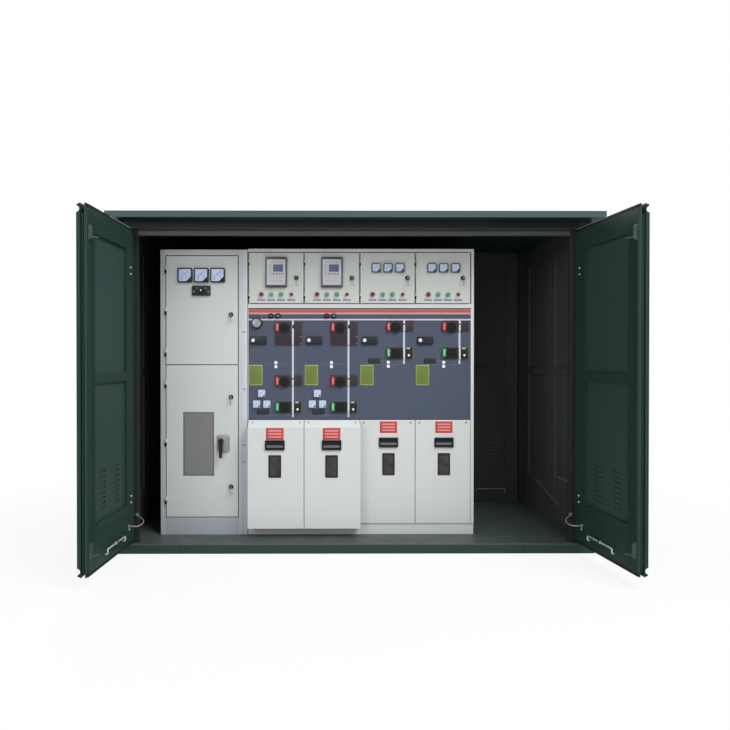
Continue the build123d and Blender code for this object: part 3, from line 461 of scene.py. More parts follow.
# Inside the walls the posts and jamb stops are painted near black, as painted shade.
dress(coating("corner_paint", green, green_stain, green_wear, 0.52, amount=0.3, grain=spray_grain,
              gloss=0.1, marks=lambda tree: [(inside(tree), (0.026, 0.026, 0.026))]),
      "corner_posts")
wall_paint, tree = blank_finish("wall_paint")
outer = stained(tree, rgba(green), green_stain, 0.6, 2.0)
inner = stained(tree, rgba((0.046, 0.046, 0.046)), (0.054, 0.054, 0.054), 0.7, 3.0)
place = point_place(tree)
sideways = maths("ABSOLUTE", place["X"])
within = inside(tree)
# Painted light inside: slot floors paler as painted highlights, side walls lighter than the back wall.
slots = maths("MAXIMUM", over(place["Y"], back_slot_floor), over(sideways, side_slot_floor))
edges = use_group(tree, edge_group, {"Reach": 0.004})
lined = inked(inner["Colour"], ((slots, (0.08, 0.085, 0.085)),
                                (over(sideways, side_wall_line), (0.064, 0.064, 0.064))))
skin = mix_colours(within, outer["Colour"], lined)
worn = maths("MULTIPLY", edges["Mask"], spread(within, 0, 1, 1.0, 0.2))
shaded(tree, mix_colours(worn, skin, rgba(green_wear)),
       spread(outer["Mask"], 0, 1, 0.46, 0.6), grained(tree, spray_grain, 0.1, edges["Normal"]), gloss=0.2)
dress(wall_paint, "back_wall", "right_wall", "left_wall")

# Floor and sill: steel plates laid on the base, the sill rubbed bare and grey by boots and by the doors.
# The floor plate behind it keeps its green paint, painted paler and greyer as painted light, under pale
# stains.
dress(coating("sill_paint", (0.078, 0.091, 0.089), (0.034, 0.066, 0.057), (0.17, 0.18, 0.18), 0.46,
              amount=0.8, scale=5.0, reach=0.004, grain=300.0, relief=0.14),
      "front_sill")
# Painted light: the floor is lifted paler and greyer than the green paint.
dress(coating("floor_paint", (0.06, 0.084, 0.084), (0.082, 0.097, 0.097), (0.13, 0.14, 0.14), 0.34,
              amount=0.7, scale=6.0, grain=260.0, relief=0.12),
      "floor_plate")


# Folding leaves: sheet steel pans with a set-back frame, sunk fields and pressed louvres, hung in pairs.
# The same green paint inside and out, with painted shade and painted highlights on it, rubber seals in the
# rebates, painted hinges and bolts, plated rods.
def under(value, limit):
    """1 where a value is below a limit, else 0."""
    return maths("LESS_THAN", value, limit)


def leaf_painted_light(tree):
    """Painted shade on free stiles; painted reflection on sunk fields, highlights in slots, by depth in the
    leaf.
    """
    place = point_place(tree)
    outward = maths("SUBTRACT", maths("ABSOLUTE", place["X"]), leaf_root[0])
    forward = maths("SUBTRACT", place["Y"], leaf_root[1])
    depth = maths("ADD", maths("MULTIPLY", outward, np.cos(leaf_turn)),
                  maths("MULTIPLY", forward, np.sin(leaf_turn)))
    stile = under(place["Y"], free_stile_line)
    fields = [(near(depth, level, field_reach), leaf_field_sheen) for level in (inner_field, outer_field)]
    return [(stile, leaf_stile_shade), *fields, (near(depth, slot_floor, slot_reach), leaf_slot_highlight)]


def seal_top_highlight(tree):
    """A painted highlight along the top of the seals near the jambs, where light catches the top lip."""
    place = point_place(tree)
    top = near(place["Z"], seal_top, seal_lip)
    return [(both(top, over(place["Y"], seal_highlight_line)), (0.3, 0.3, 0.29))]


free_stile_line = -1.125
inner_field = 0.01
outer_field = 0.048
field_reach = 0.0015
slot_floor = 0.016
slot_reach = 0.001
# Painted light: fields paler as a sky reflection, free stiles darker as shade, slot floors paler as
# highlights.
leaf_field_sheen = (0.033, 0.063, 0.055)
leaf_stile_shade = (0.014, 0.033, 0.027)
leaf_slot_highlight = (0.07, 0.095, 0.088)
seal_top = 1.82
seal_lip = 0.0035
seal_highlight_line = -0.93
rod_clip = (-0.8965, -0.8755)
dress(coating("leaf_paint", (0.018, 0.041, 0.034), green_stain, (0.044, 0.066, 0.06), 0.4, scale=1.8,
              grain=spray_grain, relief=0.08, gloss=0.03, marks=leaf_painted_light),
      "right_inner_leaf", "right_outer_leaf", "left_inner_leaf", "left_outer_leaf", "leaf_hinges")
# Near the jambs the top of the seals is painted pale, a painted highlight.
dress(coating("door_rubber", (0.012, 0.013, 0.013), (0.016, 0.016, 0.016), (0.02, 0.02, 0.02), 0.7,
              scale=8.0, grain=900.0, relief=0.2, gloss=0.1, marks=seal_top_highlight),
      "leaf_seals")
dress(coating("rod_zinc", (0.6, 0.61, 0.6), (0.4, 0.41, 0.4), (0.72, 0.73, 0.72), 0.34, scale=30.0,
              reach=0.001, Metallic=0.5, marks=banded("Y", *rod_clip, (0.012, 0.028, 0.023))),
      "stay_rods")
dress(coating("rubbed_bolts", (0.013, 0.031, 0.026), (0.11, 0.13, 0.12), (0.5, 0.52, 0.5), 0.46,
              amount=0.35, scale=38.0, reach=0.0015, grain=500.0, relief=0.15),
      "shoot_bolts")

# Bolt heads on the inner leaves: pairs that hold the hinge plates inside, and one under each earth lead.
# Zinc plated dome heads on a washer, a little dulled.
bolt_radius = 0.0072
bolt_profile = ((0, 0), (0, 0.001), (0.0012, 0.0014), (0.0013, 0.003), (0.0025, 0.005), (0.005, 0.0058))
bolt_spots = [(0.048, 1.598, 0), (0.048, 1.563, 0), (0.048, 0.337, 0), (0.048, 0.302, 0), (0.079, 0.16, 0)]
plated = coating("plated_steel", (0.55, 0.55, 0.53), (0.3, 0.29, 0.27), (0.72, 0.72, 0.7), 0.34, amount=0.6,
                 scale=60.0, reach=0.001, Metallic=1.0)
for side, sign in both_sides:
    axes = np.array([along_leaf * sign, upward, into_cabinet * sign])
    add_piece(f"{side}_leaf_bolts", "enclosure", "steel", plated, turned_form(bolt_radius, bolt_profile),
              bolt_spots, leaf_root * sign * (1, 1, 0), axes)


# Inside the enclosure: a stay rod clipped to the back wall, another along the right wall and a rail above it.
# Round bar, bent at its ends on the back wall, and a folded steel strip, all in dull zinc.
def softened(rise, edge):
    """Profile of a plate: straight up its side, a small rounded edge, then flat."""
    return ((0, 0), (0, rise - edge), (0.3 * edge, rise - 0.3 * edge), (edge, rise))


def tube(path, radius, across, sides=10):
    """A round section carried along a flat path: radius times (cosine across, sine direction x across)."""
    path = np.asarray(path, float)
    direction = np.gradient(path, axis=0)
    direction /= np.linalg.norm(direction, axis=1, keepdims=True)
    turns = np.linspace(0, 2 * np.pi, sides, endpoint=False)[:, None]
    other = np.cross(direction, across)[:, None]
    return path[:, None] + radius * (np.cos(turns) * np.asarray(across, float) + np.sin(turns) * other)


back_rod_y = 0.5455
back_rod_bends = ((0.962, 0.124), (0.962, 0.144), (0.964, 0.148), (0.968, 0.15),
                  (1.159, 0.15), (1.163, 0.148), (1.165, 0.144), (1.165, 0.12))
back_rod_radius = 0.0045
wall_rod_ends = ((1.2935, 0.25, 0.276), (1.2935, -0.179, 0.184))
wall_rod_radius = 0.004
back_rod = tube([(x, back_rod_y, z) for x, z in back_rod_bends], back_rod_radius, (0, 1, 0))
wall_rod = tube(np.linspace(*wall_rod_ends, 12), wall_rod_radius, (1, 0, 0))
rail_form = raised_form(0.405, 0.01, 0.002, softened(0.008, 0.002))
rail_middle = (1.308, -0.1645, 0.355)
facing_left = np.array([[0, -1, 0], [0, 0, 1], [-1, 0, 0]])
add_piece("back_stay_rod", "enclosure", "steel", zinc, back_rod, in_place, axes=np.eye(3))
add_piece("wall_stay_rod", "enclosure", "steel", zinc, wall_rod, in_place, axes=np.eye(3))
add_piece("wall_rail", "enclosure", "green_paint", zinc, rail_form, in_place, rail_middle, facing_left)


# Metering cabinet: folded sheet frame, doors and plinth, powder coated light grey with a fine texture.
# The two doors hang on black knuckle hinges at the left, and a filler post closes the gap to the unit.
def powder_coat(name, colour, stain, wear, roughness, amount, scale, reach=0.002, marks=None):
    """Powder-coated sheet, with the fine grain of the powder."""
    return coating(name, colour, stain, wear, roughness, amount, scale, reach, grain=620.0, marks=marks)


def moulded(name, colour, stain, wear, roughness, scale, relief, reach=0.001, **more):
    """A moulded plastic, with a finer grain than paint."""
    return coating(name, colour, stain, wear, roughness, scale=scale, reach=reach, relief=relief,
                   grain=1500.0, **more)


side_line = -0.9
cross_bar_line = 0.9
dress(powder_coat("door_grey", (0.52, 0.55, 0.53), (0.47, 0.5, 0.47), (0.7, 0.72, 0.71), 0.42, 0.35, 1.6),
      "metering_upper_door", "metering_lower_door")
# Right of side_line the frame is painted lighter and bluer, as painted light.
dress(powder_coat("frame_grey", (0.43, 0.43, 0.43), (0.38, 0.38, 0.38), (0.56, 0.57, 0.57), 0.44, 0.5, 3.0,
                  marks=banded("X", side_line, beyond_all, (0.49, 0.51, 0.54))),
      "metering_sides", "metering_back")
# Above cross_bar_line the plates are painted lighter, as painted light in the header's shade.
dress(powder_coat("plate_grey", (0.36, 0.375, 0.42), (0.31, 0.33, 0.37), (0.56, 0.57, 0.59), 0.44, 0.5, 3.0,
                  marks=banded("Z", cross_bar_line, beyond_all, (0.54, 0.53, 0.54))),
      "metering_plates")
dress(powder_coat("post_grey", (0.53, 0.55, 0.58), (0.46, 0.48, 0.52), (0.72, 0.74, 0.76), 0.38, 0.5, 9.0),
      "filler_post")
black = moulded("moulded_black", (0.01, 0.01, 0.011), (0.02, 0.02, 0.021), (0.04, 0.04, 0.042), 0.42,
                30.0, 0.15, gloss=0.15)
dress(black, "door_hinges", "isolator_handle")


# Instruments of the upper metering door: three square panel meters, a selector switch and a cylinder lock.
# Navy and black mouldings clipped through the sheet, printed dials, and steel keys left in the lock.
def tinted(colour, share):
    """A colour made darker or brighter."""
    return tuple(share * part for part in colour)


def on_face(tree):
    """Right and up on a form, from -1 to 1, read from the piece's own map."""
    spot = wire(tree, "ShaderNodeUVMap", uv_map="face_map").outputs[0]
    split = wire(tree, "ShaderNodeSeparateXYZ", {0: spot}).outputs
    return split["X"], split["Y"]


def block(right, up, box):
    """1 inside a rectangle given as left, bottom, right and top."""
    left, bottom, end, top = box
    return both(between(right, left, end), between(up, bottom, top))


def polar(right, up, centre=(0.0, 0.0)):
    """Distance from a centre on a face, and the angle round it."""
    across = maths("SUBTRACT", right, centre[0])
    above = maths("SUBTRACT", up, centre[1])
    squares = [maths("MULTIPLY", part, part) for part in (across, above)]
    return maths("SQRT", maths("ADD", *squares)), maths("ARCTAN2", above, across)


def striped(value, count, share):
    """1 over the first share of each stripe, with count stripes per unit of a value."""
    return under(maths("FRACT", maths("MULTIPLY", value, count)), share)


def printed(name, colour, drawing, roughness, soil=0.8, scale=45.0, relief=0.06, gloss=0.25, **sockets):
    """A printed face: its colour, a little soiled, under marks that drawing makes from the face's own map."""
    finish, tree = blank_finish(name)
    soiled = stained(tree, rgba(colour), tinted(colour, soil), 0.6, scale)
    marked = inked(soiled["Colour"], drawing(*on_face(tree)))
    normal = grained(tree, 900.0, relief, wire(tree, "ShaderNodeNewGeometry").outputs["Normal"])
    shaded(tree, marked, roughness, normal, gloss, **sockets)
    return finish


def dial_marks(right, up):
    """A moving-coil dial: arc and ticks round a pivot in the lower right corner, a needle, a dark corner."""
    reach, turn = polar(right, up, (0.72, -0.72))
    swept = near(turn, 2.356, 0.8)
    arc = both(near(reach, 1.22, 0.03), swept)
    ticks = both(near(reach, 1.34, 0.12), swept, striped(turn, 6.0, 0.22))
    needle = both(near(turn, 2.3, 0.03), under(reach, 1.18))
    corner = over(maths("SUBTRACT", right, up), 1.22)
    ink = (0.16, 0.2, 0.32)
    return (arc, ink), (ticks, ink), (needle, (0.05, 0.06, 0.1)), (corner, (0.01, 0.011, 0.014))


def boxed(ink, boxes):
    """A drawing of plain rectangles in one ink."""
    return lambda right, up: [(block(right, up, box), ink) for box in boxes]


def rimmed(rise, rim, sink, edge):
    """Profile of a frame: up its side, a rounded rim, then down to a sunk face."""
    return softened(rise, edge) + ((rim - edge, rise), (rim, rise - edge), (rim, rise - sink))


def on_gear(name, body, slot, finish, rings, places, **more):
    """A piece on the plane that the doors, the panel and the flat covers share."""
    return add_piece(name, body, slot, finish, rings, places, (0, gear_front, 0), **more)


def add_locks(name, body, places, node=None):
    """Cylinder locks, with a key in each and a second key on a ring through its bow."""
    turns = np.linspace(0, 2 * np.pi, 20, endpoint=False)
    ring = tube(0.01 * np.stack([np.cos(turns), np.sin(turns), 0 * turns], -1), 0.0008, (0, 0, 1), 6)
    bow = raised_form(0.0035, 0.02, 0.0015, softened(0.025, 0.0012))
    blade = raised_form(0.0065, 0.027, 0.002, softened(0.0016, 0.0005))
    places = np.array(places)
    barrel = turned_form(0.014, lock_profile)
    on_gear(f"{name}_barrels", body, "black_plastic", lock_black, barrel, places, node=node)
    on_gear(f"{name}_keys", body, "steel", key_steel, bow, places + key_out)
    on_gear(f"{name}_rings", body, "steel", key_steel, ring, places + ring_drop, ring_shaped=True)
    on_gear(f"{name}_spare_keys", body, "steel", key_steel, blade, places + spare_key_drop)


def on_door(door, x_share, z_share):
    """A place on a metering door, given by its foot and height, from shares of its width and height."""
    foot, height = door
    return (door_left + x_share * door_width, foot + z_share * height, 0)


gear_front = -0.37
door_left = -1.0995
door_width = 0.422
upper_door = (1.063, 0.639)
meter_size = 0.086
meter_rim = 0.007
dial_size = meter_size - 2 * meter_rim - 0.0005
dial_profile = softened(0.0008, 0.0003)
meter_spots = np.array([on_door(upper_door, share, 0.822) for share in (0.265, 0.492, 0.721)])
selector_spot = np.array([on_door(upper_door, 0.492, 0.68)])
dial_out = (0, 0, 0.0119)
knob_out = (0, 0, 0.014)
pointer_out = (0, 0, 0.0232)
key_out = (0, 0, 0.0085)
ring_drop = (0, -0.014, 0.028)
spare_key_drop = (0, -0.036, 0.027)
knob_profile = ((0, 0), (0, 0.007), (0.0015, 0.009), (0.006, 0.0095))
lock_profile = ((0, 0), (0, 0.006), (0.002, 0.0085), (0.004, 0.009), (0.0075, 0.009), (0.008, 0.0075))
navy = moulded("navy_plastic", (0.012, 0.019, 0.036), (0.02, 0.028, 0.048), (0.05, 0.065, 0.1), 0.32, 30.0,
               0.08, gloss=0.2)
lock_black = moulded("lock_black", (0.01, 0.01, 0.011), (0.022, 0.022, 0.022), (0.07, 0.07, 0.07), 0.26, 60.0,
                     0.05)
key_steel = coating("key_steel", (0.3, 0.3, 0.29), (0.16, 0.16, 0.15), (0.45, 0.45, 0.44), 0.46, amount=0.8,
                    scale=90.0, reach=0.0005, grain=900.0, Metallic=0.3)
dial_face = printed("dial_face", (0.52, 0.61, 0.8), dial_marks, 0.22)
selector_marks = [(low, 0.34, low + 0.14, 0.62) for low in (-0.55, -0.07, 0.41)]
selector_marks += [(low, -0.5, low + 0.16, 0.0) for low in (-0.86, 0.7)]
selector_print = boxed((0.16, 0.15, 0.15), selector_marks)
selector_face = printed("selector_face", (0.013, 0.012, 0.013), selector_print, 0.44)
pointer_print = boxed((0.8, 0.8, 0.79), [(-1.01, -0.28, 1.01, 0.28)])
pointer_face = printed("pointer_face", (0.01, 0.01, 0.011), pointer_print, 0.44)
on_gear("meter_frames", "upper_door", "instrument_plastic", navy,
        raised_form(meter_size, meter_size, 0.008, rimmed(0.016, meter_rim, 0.004, 0.0015)), meter_spots,
        node="upper_door_controls")
on_gear("meter_dials", "upper_door", "instrument_plastic", dial_face,
        raised_form(dial_size, dial_size, 0.003, dial_profile), meter_spots + dial_out)
on_gear("selector_plate", "upper_door", "black_plastic", selector_face,
        raised_form(0.108, 0.059, 0.004, softened(0.014, 0.002)), selector_spot)
on_gear("selector_knob", "upper_door", "black_plastic", black, turned_form(0.017, knob_profile),
        selector_spot + knob_out)
on_gear("selector_grip", "upper_door", "black_plastic", pointer_face,
        raised_form(0.009, 0.033, 0.0045, softened(0.0125, 0.002)), selector_spot + pointer_out)
add_locks("upper_door", "upper_door", [on_door(upper_door, 0.905, 0.46)])

# Lower metering door: a woven vent, two cylinder locks and the plate of the isolator handle.
# The vent is a lattice of flat bars held in the door's window; the plate is cast zinc, screwed on.
lower_door = (0.161, 0.897)
vent_width = 0.182
vent_height = 0.376
vent_columns = 12
vent_rows = 25
vent_bar = 0.0042
vent_profile = softened(0.0016, 0.0006)
upright_out = -0.0034
crossbar_out = -0.002
screw_out = 0.0076
vent_spot = np.array(on_door(lower_door, 0.45, 0.48))
isolator_spot = np.array(on_door(lower_door, 0.797, 0.484))
isolator_profile = ((0, 0), (0, 0.006), (0.001, 0.0072), (0.004, 0.0078), (0.01, 0.01))
screw_profile = ((0, 0), (0, 0.0012), (0.0015, 0.0024), (0.0036, 0.0026), (0.0038, 0.0014))
vent_grey = coating("vent_grey", (0.43, 0.435, 0.425), (0.34, 0.34, 0.33), (0.5, 0.5, 0.49), 0.46, scale=20.0,
                    reach=0.001, grain=900.0)
columns = np.linspace(-0.5, 0.5, vent_columns + 1)[1:-1] * vent_width
rows = np.linspace(-0.5, 0.5, vent_rows + 1)[1:-1] * vent_height
on_gear("vent_uprights", "lower_door", "grey_paint", vent_grey,
        raised_form(vent_bar, vent_height, 0.0004, vent_profile, 2),
        [vent_spot + (column, 0, upright_out) for column in columns], node="vent_grille")
on_gear("vent_crossbars", "lower_door", "grey_paint", vent_grey,
        raised_form(vent_width, vent_bar, 0.0004, vent_profile, 2),
        [vent_spot + (0, row, crossbar_out) for row in rows])
add_locks("lower_door", "lower_door", [on_door(lower_door, 0.905, share) for share in (0.79, 0.198)],
          node="lower_door_fittings")
on_gear("isolator_plate", "lower_door", "steel", zinc, raised_form(0.073, 0.102, 0.008, isolator_profile),
        isolator_spot)
on_gear("isolator_screws", "lower_door", "steel", plated, turned_form(0.0045, screw_profile),
        [isolator_spot + (right, up, screw_out) for right in (-0.029, 0.029) for up in (-0.043, 0.043)])

# Clips on the filler post: small spring steel clips that hold the post's cover strip.
# Each is a bent strip with a raised middle, pushed over the strip's edge.
clip_profile = ((0, 0), (0, 0.0016), (0.001, 0.0022), (0.002, 0.003))
post_line = -0.6405
on_gear("post_clips", "enclosure", "steel", zinc, raised_form(0.017, 0.007, 0.002, clip_profile),
        [(post_line, height, 0) for height in (1.2545, 0.917, 0.586, 0.485)])

# Switchgear unit: sealed steel housing on a plinth, removable cable covers and the instrument boxes on top.
# Powder coated sheet, pale grey, with whiter uprights between the instrument doors; screws hold the covers.
slope_foot = 0.6965
dress(powder_coat("cover_grey", (0.57, 0.59, 0.58), (0.52, 0.54, 0.52), (0.74, 0.76, 0.75), 0.4, 0.35, 1.8,
                  reach=0.003),
      "unit_plinth", "tank_housing", "flat_cable_covers")
# Above slope_foot the covers' top slope is painted paler, as painted light from above.
dress(powder_coat("deep_grey_lit_slope", (0.57, 0.59, 0.58), (0.53, 0.55, 0.53), (0.74, 0.76, 0.75), 0.4, 0.35, 1.8,
                  reach=0.003, marks=banded("Z", slope_foot, beyond_all, (0.69, 0.71, 0.71))),
      "deep_cable_covers")
dress(powder_coat("strip_white", (0.56, 0.56, 0.55), (0.5, 0.5, 0.49), (0.8, 0.81, 0.8), 0.4, 0.4, 3.0),
      "instrument_plates")
dress(powder_coat("instrument_grey", (0.51, 0.53, 0.5), (0.47, 0.49, 0.46), (0.62, 0.63, 0.61), 0.42,
                  0.4, 2.6),
      "instrument_back", *[f"instrument_door_{number}" for number in (1, 2, 3, 4)])
dress(coating("upright_white", (0.78, 0.79, 0.78), (0.7, 0.71, 0.7), (0.82, 0.82, 0.82), 0.42,
              reach=0.002),
      "instrument_uprights")


# Fittings of the cable covers: red plates with plain bars, recessed grips, smoked viewing windows and screws.
# Printed sheet laid on, black mouldings with a grey bar to pull, dark panes in black frames, zinc screws.
def along_bays(bays, shares):
    """Places along the panel at shares of the width of some bays."""
    return [bay_line + (bay + share) * bay_pitch for bay in bays for share in shares]


bay_line = -0.614
bay_pitch = 0.3287
breaker_bays = (0, 1)
load_bays = (2, 3)
deep_front = -0.457
window_height = 0.472
bar_drop = 0.008
bar_out = 0.0018
pane_out = 0.0009
screw_shares = (0.076, 0.918)
cover_fronts = (("deep", deep_front, along_bays(breaker_bays, (0.485,)), 0.6605, 0.595),
                ("flat", gear_front, along_bays(load_bays, (0.518,)), 0.6905, 0.6))
plate_bars = [(-0.74, middle - 0.13, 0.74, middle + 0.13) for middle in (-0.52, 0.0, 0.52)]
red_plate = printed("red_plate", (0.5, 0.05, 0.048), boxed((0.58, 0.27, 0.25), plate_bars), 0.34)
grip_grey = moulded("grip_grey", (0.115, 0.118, 0.122), (0.08, 0.08, 0.084), (0.22, 0.22, 0.23), 0.4, 40.0,
                    0.1)
smoked, tree = blank_finish("smoked_window")
haze = noise(object_place(tree), 24.0, 4.0)
depth_shade = mix_colours(spread(haze, 0.35, 0.7), rgba((0.024, 0.023, 0.022)),
                          rgba((0.052, 0.05, 0.048)))
shaded(tree, depth_shade, spread(haze, 0.3, 0.7, 0.1, 0.2),
       wire(tree, "ShaderNodeNewGeometry").outputs["Normal"], gloss=0.25)
plate_form = raised_form(0.102, 0.068, 0.002, softened(0.0012, 0.0004))
grip_form = raised_form(0.113, 0.058, 0.004, rimmed(0.01, 0.007, 0.008, 0.002))
bar_form = raised_form(0.097, 0.015, 0.006, softened(0.0075, 0.003))
window_form = raised_form(0.073, 0.13, 0.003, rimmed(0.004, 0.007, 0.003, 0.0012))
pane_form = raised_form(0.0585, 0.1155, 0.003, softened(0.0016, 0.0006))
for kind, face, lines, plate_height, grip_height in cover_fronts:
    bar_height = grip_height - bar_drop
    fittings = (("red_plates", "station_plate", red_plate, plate_form, plate_height, 0, None),
                ("grip_frames", "black_plastic", black, grip_form, grip_height, 0, "cover_grips"),
                ("grip_bars", "black_plastic", grip_grey, bar_form, bar_height, bar_out, None),
                ("window_frames", "black_plastic", black, window_form, window_height, 0, "cover_windows"),
                ("window_panes", "dark_window", smoked, pane_form, window_height, pane_out, None))
    for label, slot, finish, form, height, out, node in fittings:
        add_piece(f"{kind}_{label}", "enclosure", slot, finish, form, [(line, height, out) for line in lines],
                  (0, face, 0), node=node)
slope_rise = 0.4347
slope_run = 0.9005
slope_axes = np.array([[1, 0, 0], [0, slope_run, slope_rise], [0, -slope_rise, slope_run]])
slope_middle = (0, -0.3968, 0.7201)
flat_screw_height = 0.7176
cover_screw = turned_form(0.0058, ((0, 0), (0, 0.001), (0.002, 0.0026), (0.0046, 0.0028), (0.0048, 0.0014)))
add_piece("deep_cover_screws", "enclosure", "steel", zinc, cover_screw,
          [(line, 0, 0) for line in along_bays(breaker_bays, screw_shares)], slope_middle, slope_axes)
on_gear("flat_cover_screws", "enclosure", "steel", zinc, cover_screw,
        [(line, flat_screw_height, 0) for line in along_bays(load_bays, screw_shares)])


# Mimic panel: one sheet across the four bays, printed with the bus, the branch lines and a red top stripe.
# Satin grey-blue paint with screen-printed white and red inks, laid over the housing's front frame.
def bay_coordinates(tree):
    """Place in a bay: its number from 0, distance from its left edge, height above the panel's foot."""
    place = point_place(tree)
    along = maths("DIVIDE", maths("SUBTRACT", place["X"], bay_line), bay_pitch)
    bay = maths("FLOOR", along)
    right = maths("MULTIPLY", maths("SUBTRACT", along, bay), bay_pitch)
    return bay, right, maths("SUBTRACT", place["Z"], panel_foot)


def disc(right, up, centre, radius):
    """1 inside a circle."""
    return under(polar(right, up, centre)[0], radius)


panel_foot = 0.736
bus_height = 0.5914
bus_reach = 0.0042
branch_line = 0.262
branch_reach = 0.0055
dot_radius = 0.0095
top_rule = (0.098, 0.3255, 0.245, 0.3275)
bay_drawings = ((0.015, ((0.1614, 0.337), (0.1614, 0.3134)), (0.103, 0.0255, 0.245, 0.0285)),
                (0.329, ((0.1688, 0.3389), (0.1688, 0.3152)), (0.12, 0.345, 0.268, 0.348)))
stripe = (0.6395, 0.0165)
stripe_core = (0.641, 0.0055)
stripe_foot = (0.627, 0.004)
shade_line = 0.6525
ink_white = (0.52, 0.52, 0.57)
line_kinds = [("White", "Float"), ("Dots", "Float"), ("Fine", "Float")]
lines_group, _, made = start_group("mimic_lines", [], line_kinds)
bay, right, up = bay_coordinates(lines_group)
late = over(bay, max(breaker_bays) + 0.5)
early = maths("SUBTRACT", 1.0, late)
white = near(up, bus_height, bus_reach)
spots = 0.0
fine = block(right, up, top_rule)
for share, (foot, dots, rule) in zip((early, late), bay_drawings):
    branch = block(right, up, (branch_line - branch_reach, foot, branch_line + branch_reach, bus_height))
    white = maths("MAXIMUM", white, both(share, branch))
    for dot in dots:
        round_mark = both(share, disc(right, up, dot, dot_radius))
        spots = maths("MAXIMUM", spots, round_mark)
    fine = maths("MAXIMUM", fine, both(share, block(right, up, rule)))
for mask, label in ((white, "White"), (spots, "Dots"), (fine, "Fine")):
    lines_group.links.new(mask, made[label])

panel_blue, tree = blank_finish("panel_blue")
height = bay_coordinates(tree)[2]
sheet = stained(tree, rgba((0.058, 0.068, 0.113)), (0.064, 0.084, 0.11), 0.8, 3.0)
lines = use_group(tree, lines_group, {})
# Above shade_line the sheet is painted near black: a painted shadow under the instrument doors.
ink = inked(sheet["Colour"], (
    (lines["Fine"], (0.12, 0.14, 0.2)), (lines["White"], ink_white), (lines["Dots"], (0.74, 0.74, 0.76)),
    (near(height, *stripe), (0.47, 0.15, 0.14)),
    (near(height, *stripe_core), (0.38, 0.085, 0.095)),
    (near(height, *stripe_foot), (0.58, 0.3, 0.31)),
    (over(height, shade_line), (0.03, 0.02, 0.02))))
edges = use_group(tree, edge_group, {"Reach": 0.002})
worn = mix_colours(maths("MULTIPLY", edges["Mask"], 0.5), ink, rgba((0.2, 0.22, 0.28)))
shaded(tree, worn, spread(sheet["Mask"], 0, 1, 0.42, 0.52),
       grained(tree, 620.0, 0.06, edges["Normal"]), gloss=0.2)
dress(panel_blue, "mimic_panel")


# Operating stations: dark plates with the drive sockets and position windows of switches and earth switches.
# Screen-printed plates set on the panel, outlined red for switching and yellow-green for earthing.
def rim_line(right, up, share):
    """1 outside a share of a face's half size, along all four sides."""
    sides = [maths("ABSOLUTE", part) for part in (right, up)]
    return over(maths("MAXIMUM", *sides), share)


def station_finish(name, colour, outline, marks):
    """A printed plate: an outline near its rim, the panel's white branch line, and further marks."""
    def drawing(across, above):
        line = near(bay_coordinates(across.id_data)[1], branch_line, branch_reach)
        return [(rim_line(across, above, 0.955), outline), (line, ink_white)] + marks(across, above)
    return printed(name, colour, drawing, 0.42, soil=1.6, scale=30.0, relief=0.08, gloss=0.2)


def tall_marks(across, above):
    """A break in the branch line beside the socket, two small fixing dots."""
    gap = block(across, above, (0.27, 0.4, 0.44, 0.72))
    dots = [disc(across, above, (0.91, low), 0.045) for low in (-0.3, -0.88)]
    return [(gap, (0.008, 0.008, 0.009))] + [(dot, (0.3, 0.22, 0.24)) for dot in dots]


def earth_marks(across, above):
    """The earthing contact: a white dot low on the right and a short bar above it."""
    aspect = station_width / earth_height
    wide = maths("MULTIPLY", across, aspect)
    return [(disc(wide, above, (0.66 * aspect, -0.36), 0.19), (0.66, 0.66, 0.66)),
            (block(across, above, (0.5, 0.66, 0.74, 0.9)), (0.42, 0.42, 0.38))]


def in_bays(spots, right, out=0.0, lift=0.0):
    """Places at one distance from the left edge of bays, each spot a bay with a height on the panel."""
    return np.array([(bay_line + bay * bay_pitch + right, panel_foot + up + lift, out) for bay, up in spots])


station_width = 0.16
earth_height = 0.072
station_line = 0.2367
station_profile = softened(0.007, 0.001)
socket_line = 0.2114
socket_out = 0.007
socket_drop = -0.003
socket_profile = ((0, 0), (0, 0.005), (0.002, 0.0075), (0.006, 0.008), (0.011, 0.0072), (0.0125, 0.003),
                  (0.0175, 0.0028), (0.018, 0.009), (0.0195, 0.01), (0.024, 0.01), (0.0245, 0.006))
flag_line = 0.1703
flag_lift = 0.002
rim_out = 0.0068
flag_out = (0, 0, 0.0025)
red_line = (0.085, 0.022, 0.03)
earth_line = (0.15, 0.17, 0.045)
plate_dark = (0.026, 0.022, 0.026)
dim_break = boxed((0.1, 0.09, 0.098), [(0.24, 0.14, 0.44, 0.46)])
switch_spots = [(0, 0.545), (0, 0.226), (1, 0.545), (1, 0.226), (2, 0.548), (3, 0.548)]
earth_spots = [(0, 0.0738), (1, 0.0738), (2, 0.3934), (3, 0.3934)]
stations = (
    ("tall", 0.138, 0.008, [(0, 0.51), (1, 0.51)], "switch_stations",
     station_finish("tall_plate", plate_dark, red_line, tall_marks)),
    ("switch", 0.062, 0.006, [(0, 0.232), (1, 0.232), (2, 0.554), (3, 0.554)], "switch_stations",
     station_finish("switch_plate", plate_dark, red_line, dim_break)),
    ("earth", earth_height, 0.006, earth_spots, "earth_stations",
     station_finish("earth_plate", (0.012, 0.012, 0.011), earth_line, earth_marks)),
)
for kind, height, corner, spots, node, finish in stations:
    on_gear(f"{kind}_station_plates", "enclosure", "station_plate", finish,
            raised_form(station_width, height, corner, station_profile), in_bays(spots, station_line),
            node=node)
on_gear("drive_sockets", "enclosure", "black_plastic", black, turned_form(0.031, socket_profile, 8),
        in_bays(switch_spots + earth_spots, socket_line, socket_out, socket_drop), node="station_knobs")
